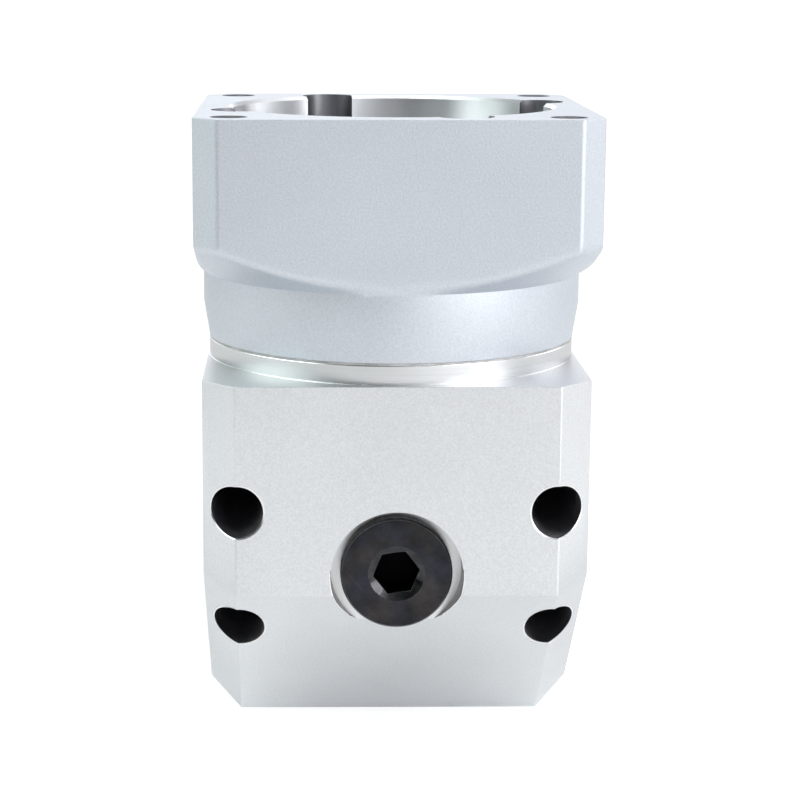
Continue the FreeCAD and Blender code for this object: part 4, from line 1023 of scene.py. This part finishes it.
# What reflections see of the floor: metres from the object, then strength
FLOOR_GLOW = [(0.0, 0.12), (0.012, 0.16), (0.025, 0.40), (0.045, 0.26), (0.09, 0.28), (0.16, 0.48),
              (0.32, 0.12), (1.0, 0.11)]
FLOOR_TINT = (0.95, 1.0, 0.99)
FLOOR_SEEN = 0.5
FLOOR_REACH = 6.0


def tinted(strength, tint):
    """Colour of a light with that strength."""
    return [strength * share for share in tint]


def stage_floor():
    """Pale floor; the camera sees it a little brighter, so that only the shadow is grey."""
    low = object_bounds()[0].z
    data = bpy.data.meshes.new("floor")
    corners = [(x * FLOOR_REACH, y * FLOOR_REACH, low) for x, y in ((-1, -1), (1, -1), (1, 1), (-1, 1))]
    data.from_pydata(corners, [], [(0, 1, 2, 3)])
    floor = new_object("floor", data)
    shader = Shader("pale_floor", (0.9, 0.9, 0.9), metal=0.0, rough=0.8)
    path = shader.add("ShaderNodeLightPath")
    away = shader.vector("DISTANCE", shader.place, (CROSSING.x, CROSSING.y, low))
    glow = shader.ramp(away, [(distance, tinted(strength, FLOOR_TINT)) for distance, strength in FLOOR_GLOW])
    reflected = shader.vector("SCALE", glow, path.outputs["Is Glossy Ray"])
    seen = shader.vector("SCALE", (FLOOR_SEEN, FLOOR_SEEN, FLOOR_SEEN), path.outputs["Is Camera Ray"])
    shader.set("Emission Color", shader.vector("ADD", reflected, seen))
    shader.set("Emission Strength", 1.0)
    data.materials.append(shader.material)


# Brightness of the surroundings: degrees to the right of the front, then strength low down and high up
SURROUNDINGS = [(-180, 1.7, 1.3), (-120, 0.95, 0.1), (-88, 0.9, 2.7), (-61, 0.05, 2.5), (-42, 0.05, 0.2),
                (-20, 0.2, 0.15), (0, 0.55, 0.3), (22, 1.8, 0.65), (42, 3.8, 1.8), (60, 2.2, 1.7),
                (82, 0.9, 0.4), (117, 2.4, 1.6), (150, 0.3, 0.5), (180, 1.7, 1.3)]
# Columns of these rows; the upper one takes over from a height, that fast
LOW, HIGH = 1, 2
HIGH_START = 0.1
HIGH_RISE = 3.0
LEFT_TINT = (0.92, 1.03, 0.98)
RIGHT_TINT = (0.99, 1.0, 1.02)
MATTE_LIGHT = 0.58


def world():
    """White to the camera; in reflections a studio of soft panels; a plain light on matte surfaces."""
    scene_world = bpy.data.worlds.new("studio")
    bpy.context.scene.world = scene_world
    scene_world.use_nodes = True
    nodes = Nodes(scene_world.node_tree)
    brightest = max(max(row[1:]) for row in SURROUNDINGS)

    def mix(share, first, second):
        node = nodes.add("ShaderNodeMix")
        node.data_type = "RGBA"
        nodes.feed(node.inputs["Factor"], share)
        for socket, given in zip([item for item in node.inputs if item.type == "RGBA"], (first, second)):
            nodes.feed(socket, given)
        return next(item for item in node.outputs if item.type == "RGBA")

    def grey(strength):
        return (*tinted(strength / brightest, (1, 1, 1)), 1)

    def panels(turn, level):
        """Brightness round the horizon, low down or high up."""
        stops = []
        for row in SURROUNDINGS:
            tint = LEFT_TINT if -180 < row[0] < 0 else RIGHT_TINT
            stops.append((row[0] / 360 + 0.5, tinted(row[level] / brightest, tint)))
        return nodes.ramp(turn, stops, "EASE")

    path = nodes.add("ShaderNodeLightPath")
    place = nodes.add("ShaderNodeTexCoord")
    parts = nodes.add("ShaderNodeSeparateXYZ", Vector=place.outputs["Generated"])
    turn = nodes.maths("ARCTAN2", parts.outputs["X"], nodes.maths("MULTIPLY", parts.outputs["Y"], -1.0))
    turn = nodes.maths("ADD", nodes.maths("DIVIDE", turn, 2 * math.pi), 0.5)
    height = nodes.maths("MULTIPLY", nodes.maths("SUBTRACT", parts.outputs["Z"], HIGH_START), HIGH_RISE)
    height = nodes.maths("MINIMUM", nodes.maths("MAXIMUM", height, 0.0), 1.0)
    studio = mix(height, panels(turn, LOW), panels(turn, HIGH))
    mirrored = nodes.maths("MAXIMUM", path.outputs["Is Glossy Ray"], path.outputs["Is Transmission Ray"])
    light = mix(mirrored, grey(MATTE_LIGHT), studio)
    light = mix(path.outputs["Is Camera Ray"], light, grey(1.0))
    background = nodes.tree.nodes["Background"]
    nodes.feed(background.inputs["Color"], light)
    nodes.feed(background.inputs["Strength"], brightest)


def softbox(name, place, size, power):
    """Rectangular lamp that is aimed at the crossing of the axes."""
    data = bpy.data.lights.new(name, "AREA")
    data.shape = "RECTANGLE"
    data.size, data.size_y = size
    data.energy = power
    lamp = new_object(name, data)
    lamp.location = place
    lamp.rotation_euler = (CROSSING - Vector(place)).to_track_quat("-Z", "Y").to_euler()


def camera():
    """Camera of the photograph, close in front, a little to the left and above; it stands in millimetres."""
    pitch, yaw, roll = 0.1924, 0.0193, -0.0031
    stand = Vector((-13.924, -337.337, 90.351))
    focal_pixels, frame_pixels = 2147.2, 800
    right_pixels, down_pixels = 56, 24
    right = Vector((math.cos(yaw), -math.sin(yaw), 0))
    ahead = Vector((math.sin(yaw) * math.cos(pitch), math.cos(yaw) * math.cos(pitch), -math.sin(pitch)))
    up = right.cross(ahead)
    right, up = (right * math.cos(roll) - up * math.sin(roll), right * math.sin(roll) + up * math.cos(roll))
    data = bpy.data.cameras.new("camera")
    data.sensor_width = 36.0
    data.lens = focal_pixels / frame_pixels * data.sensor_width
    data.shift_x = right_pixels / frame_pixels
    data.shift_y = -down_pixels / frame_pixels
    thing = new_object("camera", data)
    thing.matrix_world = Matrix((right, up, -ahead)).transposed().to_4x4()
    thing.location = CROSSING + stand * MM
    bpy.context.scene.camera = thing


stage_floor()
world()
softbox("right_box", place=(0.62, -0.50, 0.30), size=(0.35, 0.6), power=1.12)
softbox("right_spark", place=(0.39, -0.48, 0.275), size=(0.04, 0.04), power=0.12)
softbox("top_box", place=(0.0, -0.09, 0.80), size=(0.35, 0.25), power=0.5)
softbox("left_lamp", place=(-0.30, -0.26, 0.62), size=(0.2, 0.2), power=0.25)
softbox("rear_lamp", place=(0.31, 0.07, 0.62), size=(0.2, 0.2), power=0.15)
camera()
bpy.context.scene.view_settings.view_transform = "Standard"
